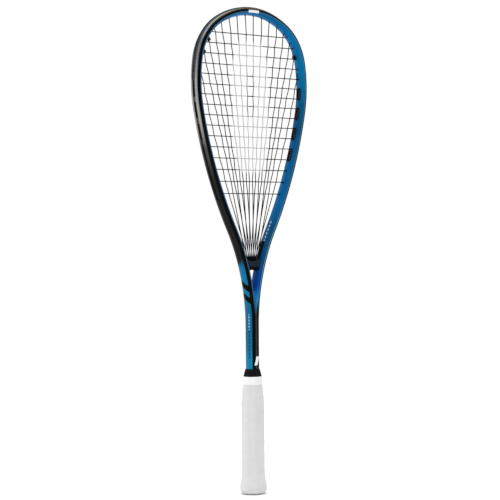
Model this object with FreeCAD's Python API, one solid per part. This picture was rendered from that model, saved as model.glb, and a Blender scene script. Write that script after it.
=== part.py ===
import FreeCAD, Part
import os
from math import atan2, ceil, cos, degrees, hypot, pi, radians, sin, sqrt, tan
from FreeCAD import Placement, Rotation, Vector

# Squash racket. Millimetres. X runs across the face, -Y is the front of the string bed,
# Z runs up the racket from the bottom centre of the butt.

# Frame tube: an oval with one radius on its sides and a smaller one on its front and back crests
LENGTH = 685.0
TUBE_WIDTH = 11.0
TUBE_DEPTH = 18.5
CREST_R = 3.8
WALL = 1.3
GUARD_PROUD = 0.8

# Reach of a cutting tool past the inside and the outside of the tube
INSIDE = -9.0
OUTSIDE = 8.0

# Centre line of the right half from the top centre: radius and turn of each tangent arc
HOOP_ARCS = [(119.0, 31.0), (75.5, 49.3), (197.5, 21.0), (606.0, 16.2)]
THROAT_R = 288.0
LEG_X = 2.7
LEG_FOOT_Z = 8.0
TOP_Z = LENGTH - GUARD_PROUD - TUBE_WIDTH / 2

# String groove round the outside of the hoop, and the plastic that fills it
GROOVE_FLOOR = 3.3
GROOVE_HALF = 2.4
CHANNEL_FLOOR = 3.9
CHANNEL_HALF = 1.35
RAIL_TOP = 5.3
GUARD_RAIL_TOP = 5.8
FIT_GAP = 0.05
GUARD_FOOT = 2.0
GUARD_HALF = 3.1
GUARD_END_Z = 578.0

# Strings: a main lies at +LANE and a cross at -LANE in the groove, so that they pass each other
STRING_R = 0.6
LANE = 0.66
WEAVE = 0.65
BORE_R = 0.78
BARREL_R = 1.3
HOLE_R = 1.4
MOUTH = 7.1
BARREL_END = 6.3
BARREL_ROOT = 3.7
GROOVE_RUN = 4.62
GROOVE_STEP = 6.5
TAIL = 6.0
CORNER_R = 1.0
BEND_R = 6.0
GROOVE_BEND_R = 100.0
BEND_SHARE = 0.45
MOUTH_ROOM = 4.0
MAINS = 16
CROSSES = 16
MAIN_PITCH = 12.85
MAIN_PITCH_Z = 610.0
FIRST_CROSS_Z = 646.1
CROSS_PITCH = 14.1
CROSS_SPREAD = 0.036
CLOSEST_CROSS = 6

# Throat insert: one column of two bores for each pair of mains
INSERT_HALF_DEPTH = 6.2
COLUMN_PITCH_TOP = 2.6
COLUMN_PITCH_FOOT = 1.8
COLUMN_DEPTH = 2.2
COLUMN_TOP_Z = 332.0
COLUMN_BORE_RISE = 12.0
COLUMN_BORE_LENGTH = 40.0
INSERT_TOP = [(-19.0, 337.0), (0.0, 327.0), (19.0, 337.0)]
INSERT_FOOT = [(12.3, 311.0), (0.0, 316.5), (-12.3, 311.0)]
LOOP_DROP = 0.8
WING_TOP_Z = 353.0
WING_FOOT_Z = 326.0
WING_THICKNESS = 1.2
WING_HALF_DEPTH = 3.0

# Ports of crosses 6 to 13: a wide opening in the inner wall and a narrow one in the groove
FIRST_PORT_CROSS = 6
PORTS = 4
PORT_LAP = 4.6
PORT_WIDTH = 7.8
PORT_STEM_LAP = 4.0
PORT_STEM_WIDTH = 4.2
PORT_RIB_LAP = 3.4
PORT_LEDGE = -3.2
PORT_FACE = -6.0
PORT_POCKET = (11.0, 5.0, 1.0)
PORT_STEM_TOP = 3.65
PORT_CUT_TOP = -2.5
STEM_CUT = (0.0, 5.0)
FIRST_STRIP_CROSS = 14
STRIP_LAP = 5.0
STRIP_END_GAP = 0.2

# Handle: X and Y sizes at heights
PALLET_LEVELS = [(5.5, 29.0, 25.0), (128.0, 29.0, 25.0), (152.0, 24.8, 21.6), (164.5, 22.6, 20.8)]
CAP_LEVELS = [(0.0, 29.0, 25.0), (1.2, 33.0, 29.0), (3.0, 35.4, 31.0), (9.0, 36.4, 32.0),
              (14.0, 35.8, 31.6), (22.0, 32.2, 28.2), (29.0, 30.8, 26.8)]
CAP_FLOOR = 5.0
CAP_SOCKET_TOP = 40.0
GRIP_LEVELS = [(3.05, 37.6, 33.2), (6.0, 38.6, 34.2), (9.5, 39.0, 34.6), (14.0, 38.2, 34.0),
               (22.5, 34.6, 30.6), (29.5, 33.2, 29.2), (128.0, 33.0, 29.0), (154.0, 28.6, 25.4)]
GRIP_CORE_Z = 1.0
TAPE_LEVELS = [(154.05, 27.8, 24.8), (165.0, 26.6, 24.0)]
CORNER_SHARE = 0.3
EDGE_R = 3.0
PALLET_EDGE_R = 1.0

# Rubber collar on the shaft
COLLAR_Z = 165.3
COLLAR_HEIGHT = 10.3
COLLAR_LIP = 2.0
COLLAR_FOOT = (24.0, 22.4, 9.0)
COLLAR_HEAD = (18.4, 20.5, 7.5)
COLLAR_GAP = 0.3

# Shaft and throat fill between the two legs
FILL_HALF_DEPTH = 8.75
FILL_TOP_Z = 246.0
FILL_END_Z = 262.0
WEB_HALF_DEPTH = 5.5
WEB_HALF_WIDTH = 4.5
WEB_FOOT_Z = 240.0
WEB_TOP_Z = 287.0
CROTCH_R = 2.6
CENTRE_WALL = 0.65
CENTRE_WALL_TOP = 300.0
LEFT_ROOM = 60.0

# Staples: two hold the cap at its sides, and one the start of the grip at the front
STAPLE_WIRE = 0.6
STAPLE_BREADTH = 1.2
STAPLE_SPAN = 10.0
STAPLE_LEG = 5.5
STAPLE_ROOM = 0.1
CAP_STAPLE_REACH = 17.0
CAP_STAPLE_Z = 16.0
START_STAPLE_REACH = 15.2
START_STAPLE_Z = 11.0

Y_AXIS = Vector(0, 1, 0)
MIRROR_X = Vector(1, 0, 0)


class Run:
    """One tangent piece of the centre line; turn is in radians and zero for a straight."""

    def __init__(self, x, z, heading, radius, turn, length):
        self.x, self.z, self.heading = x, z, heading
        self.radius, self.turn, self.length = radius, turn, length

    def at(self, share):
        """Point and heading at a share of the run."""
        if not self.turn:
            step = self.length * share
            return self.x + step * cos(self.heading), self.z - step * sin(self.heading), self.heading
        h = self.heading + self.turn * share
        x = self.x + self.radius * (sin(h) - sin(self.heading))
        z = self.z + self.radius * (cos(h) - cos(self.heading))
        return x, z, h

    def sweep(self, face, start=0.0, end=1.0):
        """Solid of a cross-section carried from one share of the run to another."""
        x, z, h = self.at(start)
        placed = set_at(face, x, z, h)
        if not self.turn:
            step = self.length * (end - start)
            return placed.extrude(Vector(step * cos(h), 0, -step * sin(h)))
        centre = Vector(x - self.radius * sin(h), 0, z - self.radius * cos(h))
        return placed.revolve(centre, Y_AXIS, degrees(self.turn * (end - start)))


def set_at(shape, x, z, heading):
    """Copy of a shape drawn at the top centre, moved to a station of the centre line."""
    copy = shape.copy()
    copy.Placement = Placement(Vector(x, 0, z), Rotation(Y_AXIS, degrees(heading)))
    return copy


def hoop_runs():
    """The arcs of the right half of the hoop."""
    runs = []
    x, z, heading = 0.0, TOP_Z, 0.0
    for radius, turn in HOOP_ARCS:
        run = Run(x, z, heading, radius, radians(turn), 0.0)
        runs.append(run)
        x, z, heading = run.at(1.0)
    return runs


def throat_runs(last):
    """Straight, counter-curve and leg that join the hoop's last arc to the shaft."""
    x, z, heading = last.at(1.0)
    back = heading - pi / 2
    straight = (LEG_X - x + THROAT_R * (1 - sin(heading))) / cos(heading)
    arm = Run(x, z, heading, 0.0, 0.0, straight)
    x, z, heading = arm.at(1.0)
    curve = Run(x, z, heading, -THROAT_R, -back, 0.0)
    x, z, heading = curve.at(1.0)
    return [arm, curve, Run(x, z, heading, 0.0, 0.0, z - LEG_FOOT_Z)]


HOOP = hoop_runs()
THROAT = throat_runs(HOOP[-1])
HOOP_END = HOOP[-1].heading + HOOP[-1].turn


def station(heading):
    """Centre line point of the hoop where it has this heading."""
    for run in HOOP:
        if heading <= run.heading + run.turn + 1e-9:
            break
    return run.at((heading - run.heading) / run.turn)[:2]


def offset_point(heading, n, side=1):
    """X and Z at a distance n outwards from the centre line; side -1 is the left half."""
    x, z = station(heading)
    return side * (x + n * sin(heading)), z + n * cos(heading)


def arc_length(heading):
    """Length of the centre line from the top centre to a heading."""
    return sum(run.radius * max(0.0, min(run.turn, heading - run.heading)) for run in HOOP)


def find(test, low, high):
    """Value between two bounds where a falling test changes sign."""
    for _ in range(50):
        middle = (low + high) / 2
        if test(middle) > 0:
            low = middle
        else:
            high = middle
    return low


def heading_at_length(length):
    return find(lambda h: length - arc_length(h), 0.0, HOOP_END)


def heading_at_height(z):
    return find(lambda h: station(h)[1] - z, 0.0, HOOP_END)


def hoop_sweep(face, start, end):
    """Solids of a section along the right half of the hoop between two headings."""
    solids = []
    for run in HOOP:
        first = max(0.0, (start - run.heading) / run.turn)
        last = min(1.0, (end - run.heading) / run.turn)
        if last - first > 1e-6:
            solids.append(run.sweep(face, first, last))
    return solids


def mirrored(solids):
    """The solids and their mirror images in the plane X = 0."""
    return solids + [solid.mirror(Vector(0, 0, 0), MIRROR_X) for solid in solids]


def fused(solids):
    return solids[0].multiFuse(solids[1:]).removeSplitter()


# Cross-sections, drawn at the top centre: n is along Z and the beam along Y

def oval_face(growth=0.0):
    """Tube section, grown or shrunk all round."""
    half, crest = TUBE_WIDTH / 2 + growth, CREST_R + growth
    rise = TUBE_DEPTH / 2 - CREST_R
    side = (half ** 2 + rise ** 2 - crest ** 2) / (2 * (half - crest))
    reach = atan2(rise, side - half)

    def arc(n, y, radius, middle, spread):
        marks = [middle - spread, middle, middle + spread]
        return Part.Arc(*[Vector(0, y + radius * sin(t), n + radius * cos(t)) for t in marks]).toShape()

    arcs = [arc(half - side, 0, side, 0, reach), arc(0, rise, crest, pi / 2, pi / 2 - reach),
            arc(side - half, 0, side, pi, reach), arc(0, -rise, crest, 3 * pi / 2, pi / 2 - reach)]
    return Part.Face(Part.Wire(arcs))


def box_face(n0, n1, half):
    """Rectangle from n0 to n1, centred on the beam."""
    corners = [Vector(0, -half, n0), Vector(0, -half, n1), Vector(0, half, n1), Vector(0, half, n0)]
    return Part.Face(Part.makePolygon(corners + corners[:1]))


def one_face(shape):
    return shape.removeSplitter().Faces[0]


def rib_face():
    """Groove filling with its open string channel."""
    block = box_face(GROOVE_FLOOR + FIT_GAP, RAIL_TOP, GROOVE_HALF - FIT_GAP)
    return one_face(block.cut(box_face(CHANNEL_FLOOR, OUTSIDE, CHANNEL_HALF)))


def guard_section():
    """Bumper: a narrow skin over the edges of the groove, joined to the rib in it."""
    skin = oval_face(GUARD_PROUD).common(box_face(GUARD_FOOT, OUTSIDE, GUARD_HALF)).cut(oval_face(FIT_GAP))
    block = box_face(GROOVE_FLOOR + FIT_GAP, GUARD_RAIL_TOP, GROOVE_HALF - FIT_GAP)
    return skin.fuse(block).cut(box_face(CHANNEL_FLOOR, OUTSIDE, CHANNEL_HALF))


# String layout

def cross_heights():
    """Heights of the cross strings from the top one down; they spread towards both ends."""
    heights = [FIRST_CROSS_Z]
    for j in range(1, CROSSES):
        heights.append(heights[-1] - CROSS_PITCH - CROSS_SPREAD * (j - CLOSEST_CROSS) ** 2)
    return heights


def column_of(k, pitch):
    """X of the throat column that main k (1 at the left) shares with its neighbour."""
    pair = (k - 1) // 2
    return (pair - (MAINS / 2 - 1) / 2) * pitch


def main_x(k, z):
    """X of main k at a height: a straight fan from its throat column."""
    foot = column_of(k, COLUMN_PITCH_TOP)
    head = (k - (MAINS + 1) / 2) * MAIN_PITCH
    return foot + (head - foot) * (z - COLUMN_TOP_Z) / (MAIN_PITCH_Z - COLUMN_TOP_Z)


def main_heading(k):
    """Heading of the hoop where main k leaves it, on the right half."""
    twin = max(k, MAINS + 1 - k)

    def outside(h):
        x, z = offset_point(h, -MOUTH)
        return main_x(twin, z) - x

    return find(outside, 0.0, radians(95))


def cross_heading(j):
    height = CROSS_Z[j - 1]
    return find(lambda h: offset_point(h, -MOUTH)[1] - height, 0.0, HOOP_END)


CROSS_Z = cross_heights()
MAIN_AT = {k: main_heading(k) for k in range(1, MAINS + 1)}
CROSS_AT = {j: cross_heading(j) for j in range(1, CROSSES + 1)}


def side_of(k):
    return 1 if k > MAINS / 2 else -1


def rod(heading, side, y, radius, n0, n1):
    """Cylinder square to the centre line, from n0 to n1."""
    x0, z0 = offset_point(heading, n0, side)
    direction = Vector(side * sin(heading), 0, cos(heading))
    return Part.makeCylinder(radius, n1 - n0, Vector(x0, y, z0), direction)


# Frame

def tube(face):
    """A section along both halves of the hoop and down both legs."""
    return hoop_sweep(face, 0.0, HOOP_END) + [run.sweep(face) for run in THROAT]


def prism(outline, half_width):
    """Solid from a closed outline in Y and Z, as thick as half_width each side of X = 0."""
    points = [Vector(-half_width, y, z) for y, z in outline]
    return Part.Face(Part.makePolygon(points + points[:1])).extrude(Vector(2 * half_width, 0, 0))


def shaft_fill():
    """Material that joins the two legs: flush in the shaft, sunk between the arms."""
    d, w = FILL_HALF_DEPTH, WEB_HALF_DEPTH
    flush = prism([(-d, LEG_FOOT_Z), (d, LEG_FOOT_Z), (d, FILL_TOP_Z), (w, FILL_END_Z),
                   (-w, FILL_END_Z), (-d, FILL_TOP_Z)], LEG_X)
    web = prism([(-w, WEB_FOOT_Z), (w, WEB_FOOT_Z), (w, WEB_TOP_Z), (-w, WEB_TOP_Z)], WEB_HALF_WIDTH)
    crotch = Part.makeCylinder(CROTCH_R, 2 * w, Vector(0, -w, WEB_TOP_Z), Y_AXIS)
    return [flush, web.cut(crotch)]


def stadium(length, width, n0, n1):
    """Round-ended block square to the centre line, drawn at the top centre."""
    half, r = length / 2 - width / 2, width / 2
    block = Part.makeBox(2 * half, width, n1 - n0, Vector(-half, -r, n0))
    ends = [Part.makeCylinder(r, n1 - n0, Vector(x, 0, n0)) for x in (-half, half)]
    return fused([block] + ends)


def port_heading(port):
    """Heading of the hoop at the middle of a port; port 0 is the highest."""
    upper = FIRST_PORT_CROSS + 2 * port
    return heading_at_length((arc_length(CROSS_AT[upper]) + arc_length(CROSS_AT[upper + 1])) / 2)


def port_stadium(port, lap, width, n0, n1):
    """Stadium that reaches past both strings of a port."""
    upper = FIRST_PORT_CROSS + 2 * port
    return stadium(arc_length(CROSS_AT[upper + 1]) - arc_length(CROSS_AT[upper]) + lap, width, n0, n1)


def at_port(shape, port, side):
    """A shape drawn at the top centre, set at a port of the right or left arm."""
    heading = port_heading(port)
    placed = set_at(shape, *station(heading), heading)
    return placed if side > 0 else placed.mirror(Vector(0, 0, 0), MIRROR_X)


def has_own_hole(j):
    return not FIRST_PORT_CROSS <= j < FIRST_PORT_CROSS + 2 * PORTS


def groove_end():
    return heading_at_length(arc_length(CROSS_AT[CROSSES]) + STRIP_LAP)


def frame():
    outer = fused(mirrored(tube(oval_face())) + shaft_fill())
    hollow = oval_face(-WALL).cut(box_face(GROOVE_FLOOR - WALL, OUTSIDE, GROOVE_HALF + WALL))
    spine = Part.makeBox(2 * CENTRE_WALL, TUBE_DEPTH, CENTRE_WALL_TOP,
                         Vector(-CENTRE_WALL, -TUBE_DEPTH / 2, 0))
    space = fused(tube(one_face(hollow))).cut(spine)
    left_of_spine = Part.makeBox(LEFT_ROOM, TUBE_DEPTH, CENTRE_WALL_TOP,
                                 Vector(-LEFT_ROOM, -TUBE_DEPTH / 2, 0))
    space = space.cut(left_of_spine)
    body = outer.cut(fused(mirrored([space])))
    groove = hoop_sweep(box_face(GROOVE_FLOOR, OUTSIDE, GROOVE_HALF), 0.0, groove_end())
    body = body.cut(fused(mirrored(groove)))
    cuts = [rod(MAIN_AT[k], side_of(k), LANE, HOLE_R, INSIDE, OUTSIDE) for k in MAIN_AT]
    for side in (-1, 1):
        cuts += [rod(CROSS_AT[j], side, -LANE, HOLE_R, INSIDE, OUTSIDE) for j in CROSS_AT if has_own_hole(j)]
        for port in range(PORTS):
            cuts.append(at_port(port_stadium(port, PORT_LAP, PORT_WIDTH, INSIDE, PORT_CUT_TOP), port, side))
            cuts.append(at_port(port_stadium(port, PORT_STEM_LAP, PORT_STEM_WIDTH, *STEM_CUT), port, side))
    return body.cut(cuts)


# Fittings of the hoop

def bores(stations, lane):
    return [rod(heading, side, lane, BORE_R, INSIDE, OUTSIDE) for heading, side in stations]


def barrels(stations, lane):
    return [rod(heading, side, lane, BARREL_R, -BARREL_END, BARREL_ROOT) for heading, side in stations]


def head_guard():
    band = []
    for face in guard_section().Faces:
        band += hoop_sweep(face, 0.0, heading_at_height(GUARD_END_Z))
    mains = [(MAIN_AT[k], side_of(k)) for k in MAIN_AT]
    crosses = [(CROSS_AT[j], side) for j in range(1, FIRST_PORT_CROSS) for side in (-1, 1)]
    solid = fused(mirrored(band) + barrels(mains, LANE) + barrels(crosses, -LANE))
    return solid.cut(bores(mains, LANE) + bores(crosses, -LANE))


def rib_between(start, end, side):
    """Solids of the groove filling between two headings of the right or left half."""
    rib = hoop_sweep(rib_face(), start, end)
    return rib if side > 0 else [solid.mirror(Vector(0, 0, 0), MIRROR_X) for solid in rib]


def port_insert(port, side):
    gap = 2 * FIT_GAP
    plug = port_stadium(port, PORT_LAP - gap, PORT_WIDTH - gap, PORT_FACE, PORT_LEDGE)
    stem = port_stadium(port, PORT_STEM_LAP - gap, PORT_STEM_WIDTH - gap, PORT_LEDGE, PORT_STEM_TOP)
    pocket = stadium(PORT_POCKET[0], PORT_POCKET[1], PORT_FACE, PORT_FACE + PORT_POCKET[2])
    upper = FIRST_PORT_CROSS + 2 * port
    ends = [(CROSS_AT[upper], side), (CROSS_AT[upper + 1], side)]
    start = heading_at_length(arc_length(CROSS_AT[upper]) - PORT_RIB_LAP)
    end = heading_at_length(arc_length(CROSS_AT[upper + 1]) + PORT_RIB_LAP)
    rib = rib_between(start, end, side)
    block = [at_port(shape, port, side) for shape in (plug.cut(pocket), stem)]
    return fused(block + rib + barrels(ends, -LANE)).cut(bores(ends, -LANE))


def grommet_strip(side):
    start = heading_at_length(arc_length(CROSS_AT[FIRST_STRIP_CROSS]) - STRIP_LAP)
    end = heading_at_length(arc_length(CROSS_AT[CROSSES]) + STRIP_LAP - STRIP_END_GAP)
    stations = [(CROSS_AT[j], side) for j in range(FIRST_STRIP_CROSS, CROSSES + 1)]
    rib = rib_between(start, end, side)
    return fused(rib + barrels(stations, -LANE)).cut(bores(stations, -LANE))


def arc_through(points):
    return Part.Arc(*[Vector(x, -INSERT_HALF_DEPTH, z) for x, z in points]).toShape()


def line_between(start, end):
    return Part.makeLine(Vector(start[0], -INSERT_HALF_DEPTH, start[1]),
                         Vector(end[0], -INSERT_HALF_DEPTH, end[1]))


def insert_foot_z(x):
    """Height of the insert's arched underside."""
    (edge_x, edge_z), (_, crown_z) = INSERT_FOOT[:2]
    rise = crown_z - edge_z
    radius = (edge_x ** 2 + rise ** 2) / (2 * rise)
    return crown_z - radius + sqrt(radius ** 2 - x ** 2)


def column_points(k):
    """Top and foot of main k's bore in the throat insert."""
    y = -COLUMN_DEPTH if k % 2 else COLUMN_DEPTH
    foot_x = column_of(k, COLUMN_PITCH_FOOT)
    top = Vector(column_of(k, COLUMN_PITCH_TOP), y, COLUMN_TOP_Z)
    return top, Vector(foot_x, y, insert_foot_z(foot_x) - LOOP_DROP)


def insert_wings():
    """Thin tongues of the insert that lie along the inner sides of the arms."""
    face = box_face(-TUBE_WIDTH / 2 - FIT_GAP - WING_THICKNESS, 0.0, WING_HALF_DEPTH).cut(oval_face(FIT_GAP))
    curve = THROAT[1]
    start, end = [find(lambda share: curve.at(share)[1] - z, 0.0, 1.0) for z in (WING_TOP_Z, WING_FOOT_Z)]
    return mirrored([curve.sweep(one_face(face), start, end)])


def throat_insert():
    edges = [arc_through(INSERT_TOP), line_between(INSERT_TOP[2], INSERT_FOOT[0]),
             arc_through(INSERT_FOOT), line_between(INSERT_FOOT[2], INSERT_TOP[0])]
    block = Part.Face(Part.Wire(edges)).extrude(Vector(0, 2 * INSERT_HALF_DEPTH, 0))
    arms = mirrored([THROAT[1].sweep(oval_face(FIT_GAP))])
    block = block.cut(arms)
    middle = min(block.Solids, key=lambda solid: abs(solid.CenterOfMass.x) + abs(solid.CenterOfMass.y))
    holes = []
    for k in range(1, MAINS + 1):
        top, foot = column_points(k)
        way = (foot - top).normalize()
        holes.append(Part.makeCylinder(BORE_R, COLUMN_BORE_LENGTH, top - way * COLUMN_BORE_RISE, way))
    return middle.multiFuse(insert_wings()).removeSplitter().cut(holes)


# Strings

def rounded_wire(points, radii, closed=False):
    """Straight runs joined by tangent arcs."""
    count = len(points)
    bends = []
    for i in range(count) if closed else range(1, count - 1):
        corner, before, after = points[i], points[i - 1], points[(i + 1) % count]
        back, ahead = (before - corner), (after - corner)
        room = min(back.Length, ahead.Length)
        back.normalize()
        ahead.normalize()
        half_turn = (pi - back.getAngle(ahead)) / 2
        if half_turn < 1e-4:
            continue
        radius = min(radii[i], BEND_SHARE * room / tan(half_turn))
        cut = radius * tan(half_turn)
        inwards = (back + ahead).normalize()
        middle = corner + inwards * (radius / cos(half_turn) - radius)
        bends.append((corner + back * cut, middle, corner + ahead * cut))
    edges = []
    last = bends[-1][2] if closed else points[0]
    for begin, middle, end in bends:
        if (begin - last).Length > 1e-6:
            edges.append(Part.makeLine(last, begin))
        edges.append(Part.Arc(begin, middle, end).toShape())
        last = end
    if not closed:
        edges.append(Part.makeLine(last, points[-1]))
    return Part.Wire(edges)


def string_solid(points, radii, name):
    """Round string along a route of straight runs and tangent arcs."""
    route = rounded_wire(points, radii)
    start = route.Edges[0]
    ring = Part.Wire(Part.makeCircle(STRING_R, points[0], start.tangentAt(start.FirstParameter)))
    solid = route.makePipeShell([ring], True, False)
    expected = pi * STRING_R ** 2 * route.Length
    print(name, "length", round(route.Length), "mm, volume share", round(solid.Volume / expected, 4),
          "edges", len(route.Edges), "valid", solid.isValid())
    return solid


def weave_sign(k, j):
    """Side of the bed on which main k passes cross j; the cross takes the other."""
    return 1 if (k + j) % 2 == 0 else -1


def crossings(k):
    """Crosses that main k meets, from the top down."""
    top = offset_point(MAIN_AT[k], -MOUTH)[1]
    return [j for j in CROSS_AT if CROSS_Z[j - 1] < top - MOUTH_ROOM]


def groove_points(start, end, side, lane):
    """Route in the groove from one hole to another, both ends included."""
    steps = max(1, ceil(abs(arc_length(end) - arc_length(start)) / GROOVE_STEP))
    points = []
    for i in range(steps + 1):
        x, z = offset_point(start + (end - start) * i / steps, GROOVE_RUN, side)
        points.append(Vector(x, lane, z))
    return points


def loop_over(start, end, start_side, end_side, lane):
    """Route outside the hoop, over the top centre if the holes are on different halves."""
    if start_side == end_side:
        return groove_points(start, end, start_side, lane)
    return groove_points(start, 0.0, start_side, lane) + groove_points(0.0, end, end_side, lane)[1:]


class Route:
    """Points of a string with the bend radius wanted at each."""

    def __init__(self):
        self.points, self.radii = [], []

    def add(self, points, radius):
        self.points += points
        self.radii += [radius] * len(points)


def woven(points, end):
    """Lift the corners from the second to the one before end so that the rounded string weaves fully."""
    for i in range(1, end):
        gap = min(hypot(points[i].x - points[n].x, points[i].z - points[n].z) for n in (i - 1, i + 1))
        half_turn = atan2(2 * WEAVE, gap)
        bend = min(BEND_R, BEND_SHARE * gap / tan(half_turn))
        points[i].y *= WEAVE + bend * (1 / cos(half_turn) - 1)
    return points


def main_run(k):
    """Main k in the bed, from the hoop down to its throat column."""
    x, z = offset_point(MAIN_AT[k], -MOUTH, side_of(k))
    points = [Vector(x, LANE, z)]
    for j in crossings(k):
        points.append(Vector(main_x(k, CROSS_Z[j - 1]), weave_sign(k, j), CROSS_Z[j - 1]))
    points += column_points(k)
    return woven(points, len(points) - 2)


def tail(heading, side, lane, step):
    """Loose end in the groove, from its tip to the hole it comes from."""
    points = []
    for h in (heading_at_length(arc_length(heading) + step), heading):
        x, z = offset_point(h, GROOVE_RUN, side)
        points.append(Vector(x, lane, z))
    return points


def main_string():
    route = Route()
    route.add(tail(MAIN_AT[1], -1, LANE, TAIL), CORNER_R)
    for k in range(1, MAINS + 1):
        run = main_run(k)
        if k % 2:
            add_run(route, run, (1, 2))
        else:
            add_run(route, run[::-1], (2, 1))
            if k < MAINS:
                outside = loop_over(MAIN_AT[k], MAIN_AT[k + 1], side_of(k), side_of(k + 1), LANE)
                add_loop(route, outside)
    route.add(tail(MAIN_AT[MAINS], 1, LANE, TAIL)[::-1], CORNER_R)
    return string_solid(route.points, route.radii, "main_string")


def add_run(route, run, ends):
    """Points of the bed bend gently, and the given number at each end more tightly."""
    first, last = ends
    route.add(run[:first], CORNER_R)
    route.add(run[first:len(run) - last], BEND_R)
    route.add(run[len(run) - last:], CORNER_R)


def add_loop(route, outside):
    route.add(outside[:1], CORNER_R)
    route.add(outside[1:-1], GROOVE_BEND_R)
    route.add(outside[-1:], CORNER_R)


def cross_run(j):
    """Cross j from its left mouth to its right one."""
    height = CROSS_Z[j - 1]
    reach = offset_point(CROSS_AT[j], -MOUTH)[0]
    points = [Vector(-reach, -LANE, height)]
    for k in range(1, MAINS + 1):
        if j in crossings(k):
            points.append(Vector(main_x(k, height), -weave_sign(k, j), height))
    points.append(Vector(reach, -LANE, height))
    return woven(points, len(points) - 1)


def cross_string():
    route = Route()
    route.add(tail(CROSS_AT[1], -1, -LANE, -TAIL), CORNER_R)
    for j in range(1, CROSSES + 1):
        run = cross_run(j)
        side = 1 if j % 2 else -1
        add_run(route, run if side > 0 else run[::-1], (1, 1))
        if j < CROSSES:
            add_loop(route, loop_over(CROSS_AT[j], CROSS_AT[j + 1], side, side, -LANE))
    route.add(tail(CROSS_AT[CROSSES], -1, -LANE, -TAIL)[::-1], CORNER_R)
    return string_solid(route.points, route.radii, "cross_string")


# Handle

def octagon_wire(z, size_x, size_y, edge_r):
    """Eight-sided handle section with softened edges."""
    a, b = size_x / 2, size_y / 2
    c = CORNER_SHARE * size_y
    right = [(a, c - b), (a, b - c), (a - c, b)]
    left = [(-x, y) for x, y in right[::-1]]
    front = [(c - a, -b), (a - c, -b)]
    return rounded_wire([Vector(x, y, z) for x, y in right + left + front], [edge_r] * 8, True)


def handle_solid(levels, edge_r, growth=0.0):
    """Ruled solid through eight-sided sections."""
    wires = [octagon_wire(z, x + 2 * growth, y + 2 * growth, edge_r) for z, x, y in levels]
    return Part.makeLoft(wires, True, True)


def legs(growth):
    """Both legs of the frame with a gap all round, as tall as the handle and its collar."""
    shapes = mirrored([THROAT[2].sweep(oval_face(growth))])
    fill = Part.makeBox(2 * LEG_X, 2 * (FILL_HALF_DEPTH + growth), THROAT[2].length,
                        Vector(-LEG_X, -FILL_HALF_DEPTH - growth, LEG_FOOT_Z))
    return fused(shapes + [fill])


def staple(x_face, z, growth=0.0):
    """Staple driven towards the axis from the +X side; its crown lies along Y."""
    g = growth
    crown = Part.makeBox(STAPLE_WIRE + 2 * g, STAPLE_SPAN + 2 * g, STAPLE_BREADTH + 2 * g,
                         Vector(x_face - STAPLE_WIRE - g, -STAPLE_SPAN / 2 - g, z - STAPLE_BREADTH / 2 - g))
    parts = [crown]
    for y in (-STAPLE_SPAN / 2, STAPLE_SPAN / 2 - STAPLE_WIRE):
        parts.append(Part.makeBox(STAPLE_LEG + 2 * g, STAPLE_WIRE + 2 * g, STAPLE_BREADTH + 2 * g,
                                  Vector(x_face - STAPLE_LEG - g, y - g, z - STAPLE_BREADTH / 2 - g)))
    return fused(parts)


def cap_staples(growth=0.0):
    return Part.makeCompound(mirrored([staple(CAP_STAPLE_REACH, CAP_STAPLE_Z, growth)]))


def start_staple(growth=0.0):
    shape = staple(START_STAPLE_REACH, START_STAPLE_Z, growth)
    shape.Placement = Placement(Vector(0, 0, 0), Rotation(Vector(0, 0, 1), -90))
    return shape


def staple_room():
    return cap_staples(STAPLE_ROOM).Solids + start_staple(STAPLE_ROOM).Solids


def handle_pallet():
    return handle_solid(PALLET_LEVELS, PALLET_EDGE_R).cut([legs(FIT_GAP)] + staple_room())


def butt_cap():
    foot = PALLET_LEVELS[0][1:]
    socket = handle_solid([(CAP_FLOOR, *foot), (CAP_SOCKET_TOP, *foot)], PALLET_EDGE_R, FIT_GAP)
    return handle_solid(CAP_LEVELS, EDGE_R).cut([socket] + staple_room())


def grip_tape():
    foot = (GRIP_CORE_Z, *PALLET_LEVELS[0][1:])
    core = handle_solid([foot] + PALLET_LEVELS, PALLET_EDGE_R, FIT_GAP)
    return handle_solid(GRIP_LEVELS, EDGE_R).cut([core, handle_solid(CAP_LEVELS, EDGE_R, FIT_GAP)])


def finishing_tape():
    core = handle_solid(PALLET_LEVELS, PALLET_EDGE_R, FIT_GAP)
    return handle_solid(TAPE_LEVELS, EDGE_R).cut([core, legs(FIT_GAP)])


def rounded_rectangle(z, size_x, size_y, radius):
    a, b = size_x / 2, size_y / 2
    corners = [Vector(a, -b, z), Vector(a, b, z), Vector(-a, b, z), Vector(-a, -b, z)]
    return rounded_wire(corners, [radius] * 4, True)


def collar():
    foot = rounded_rectangle(COLLAR_Z, *COLLAR_FOOT)
    lip = rounded_rectangle(COLLAR_Z + COLLAR_LIP, *COLLAR_FOOT)
    head = rounded_rectangle(COLLAR_Z + COLLAR_HEIGHT, *COLLAR_HEAD)
    return Part.makeLoft([foot, lip, head], True, True).cut(legs(COLLAR_GAP))


def save(name, shape):
    """Write one sub-part and say what it is made of."""
    clean = shape.removeSplitter() if len(shape.Solids) == 1 else shape
    body = clean.Solids[0] if len(clean.Solids) == 1 else Part.makeCompound(clean.Solids)
    body.exportStep("parts/" + name + ".step")
    box = body.optimalBoundingBox(False, False)
    print(name, "solids", len(body.Solids), "valid", body.isValid(), "cm3", round(body.Volume / 1000, 3),
          "box", [round(v, 2) for v in (box.XMin, box.YMin, box.ZMin, box.XMax, box.YMax, box.ZMax)])


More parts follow.
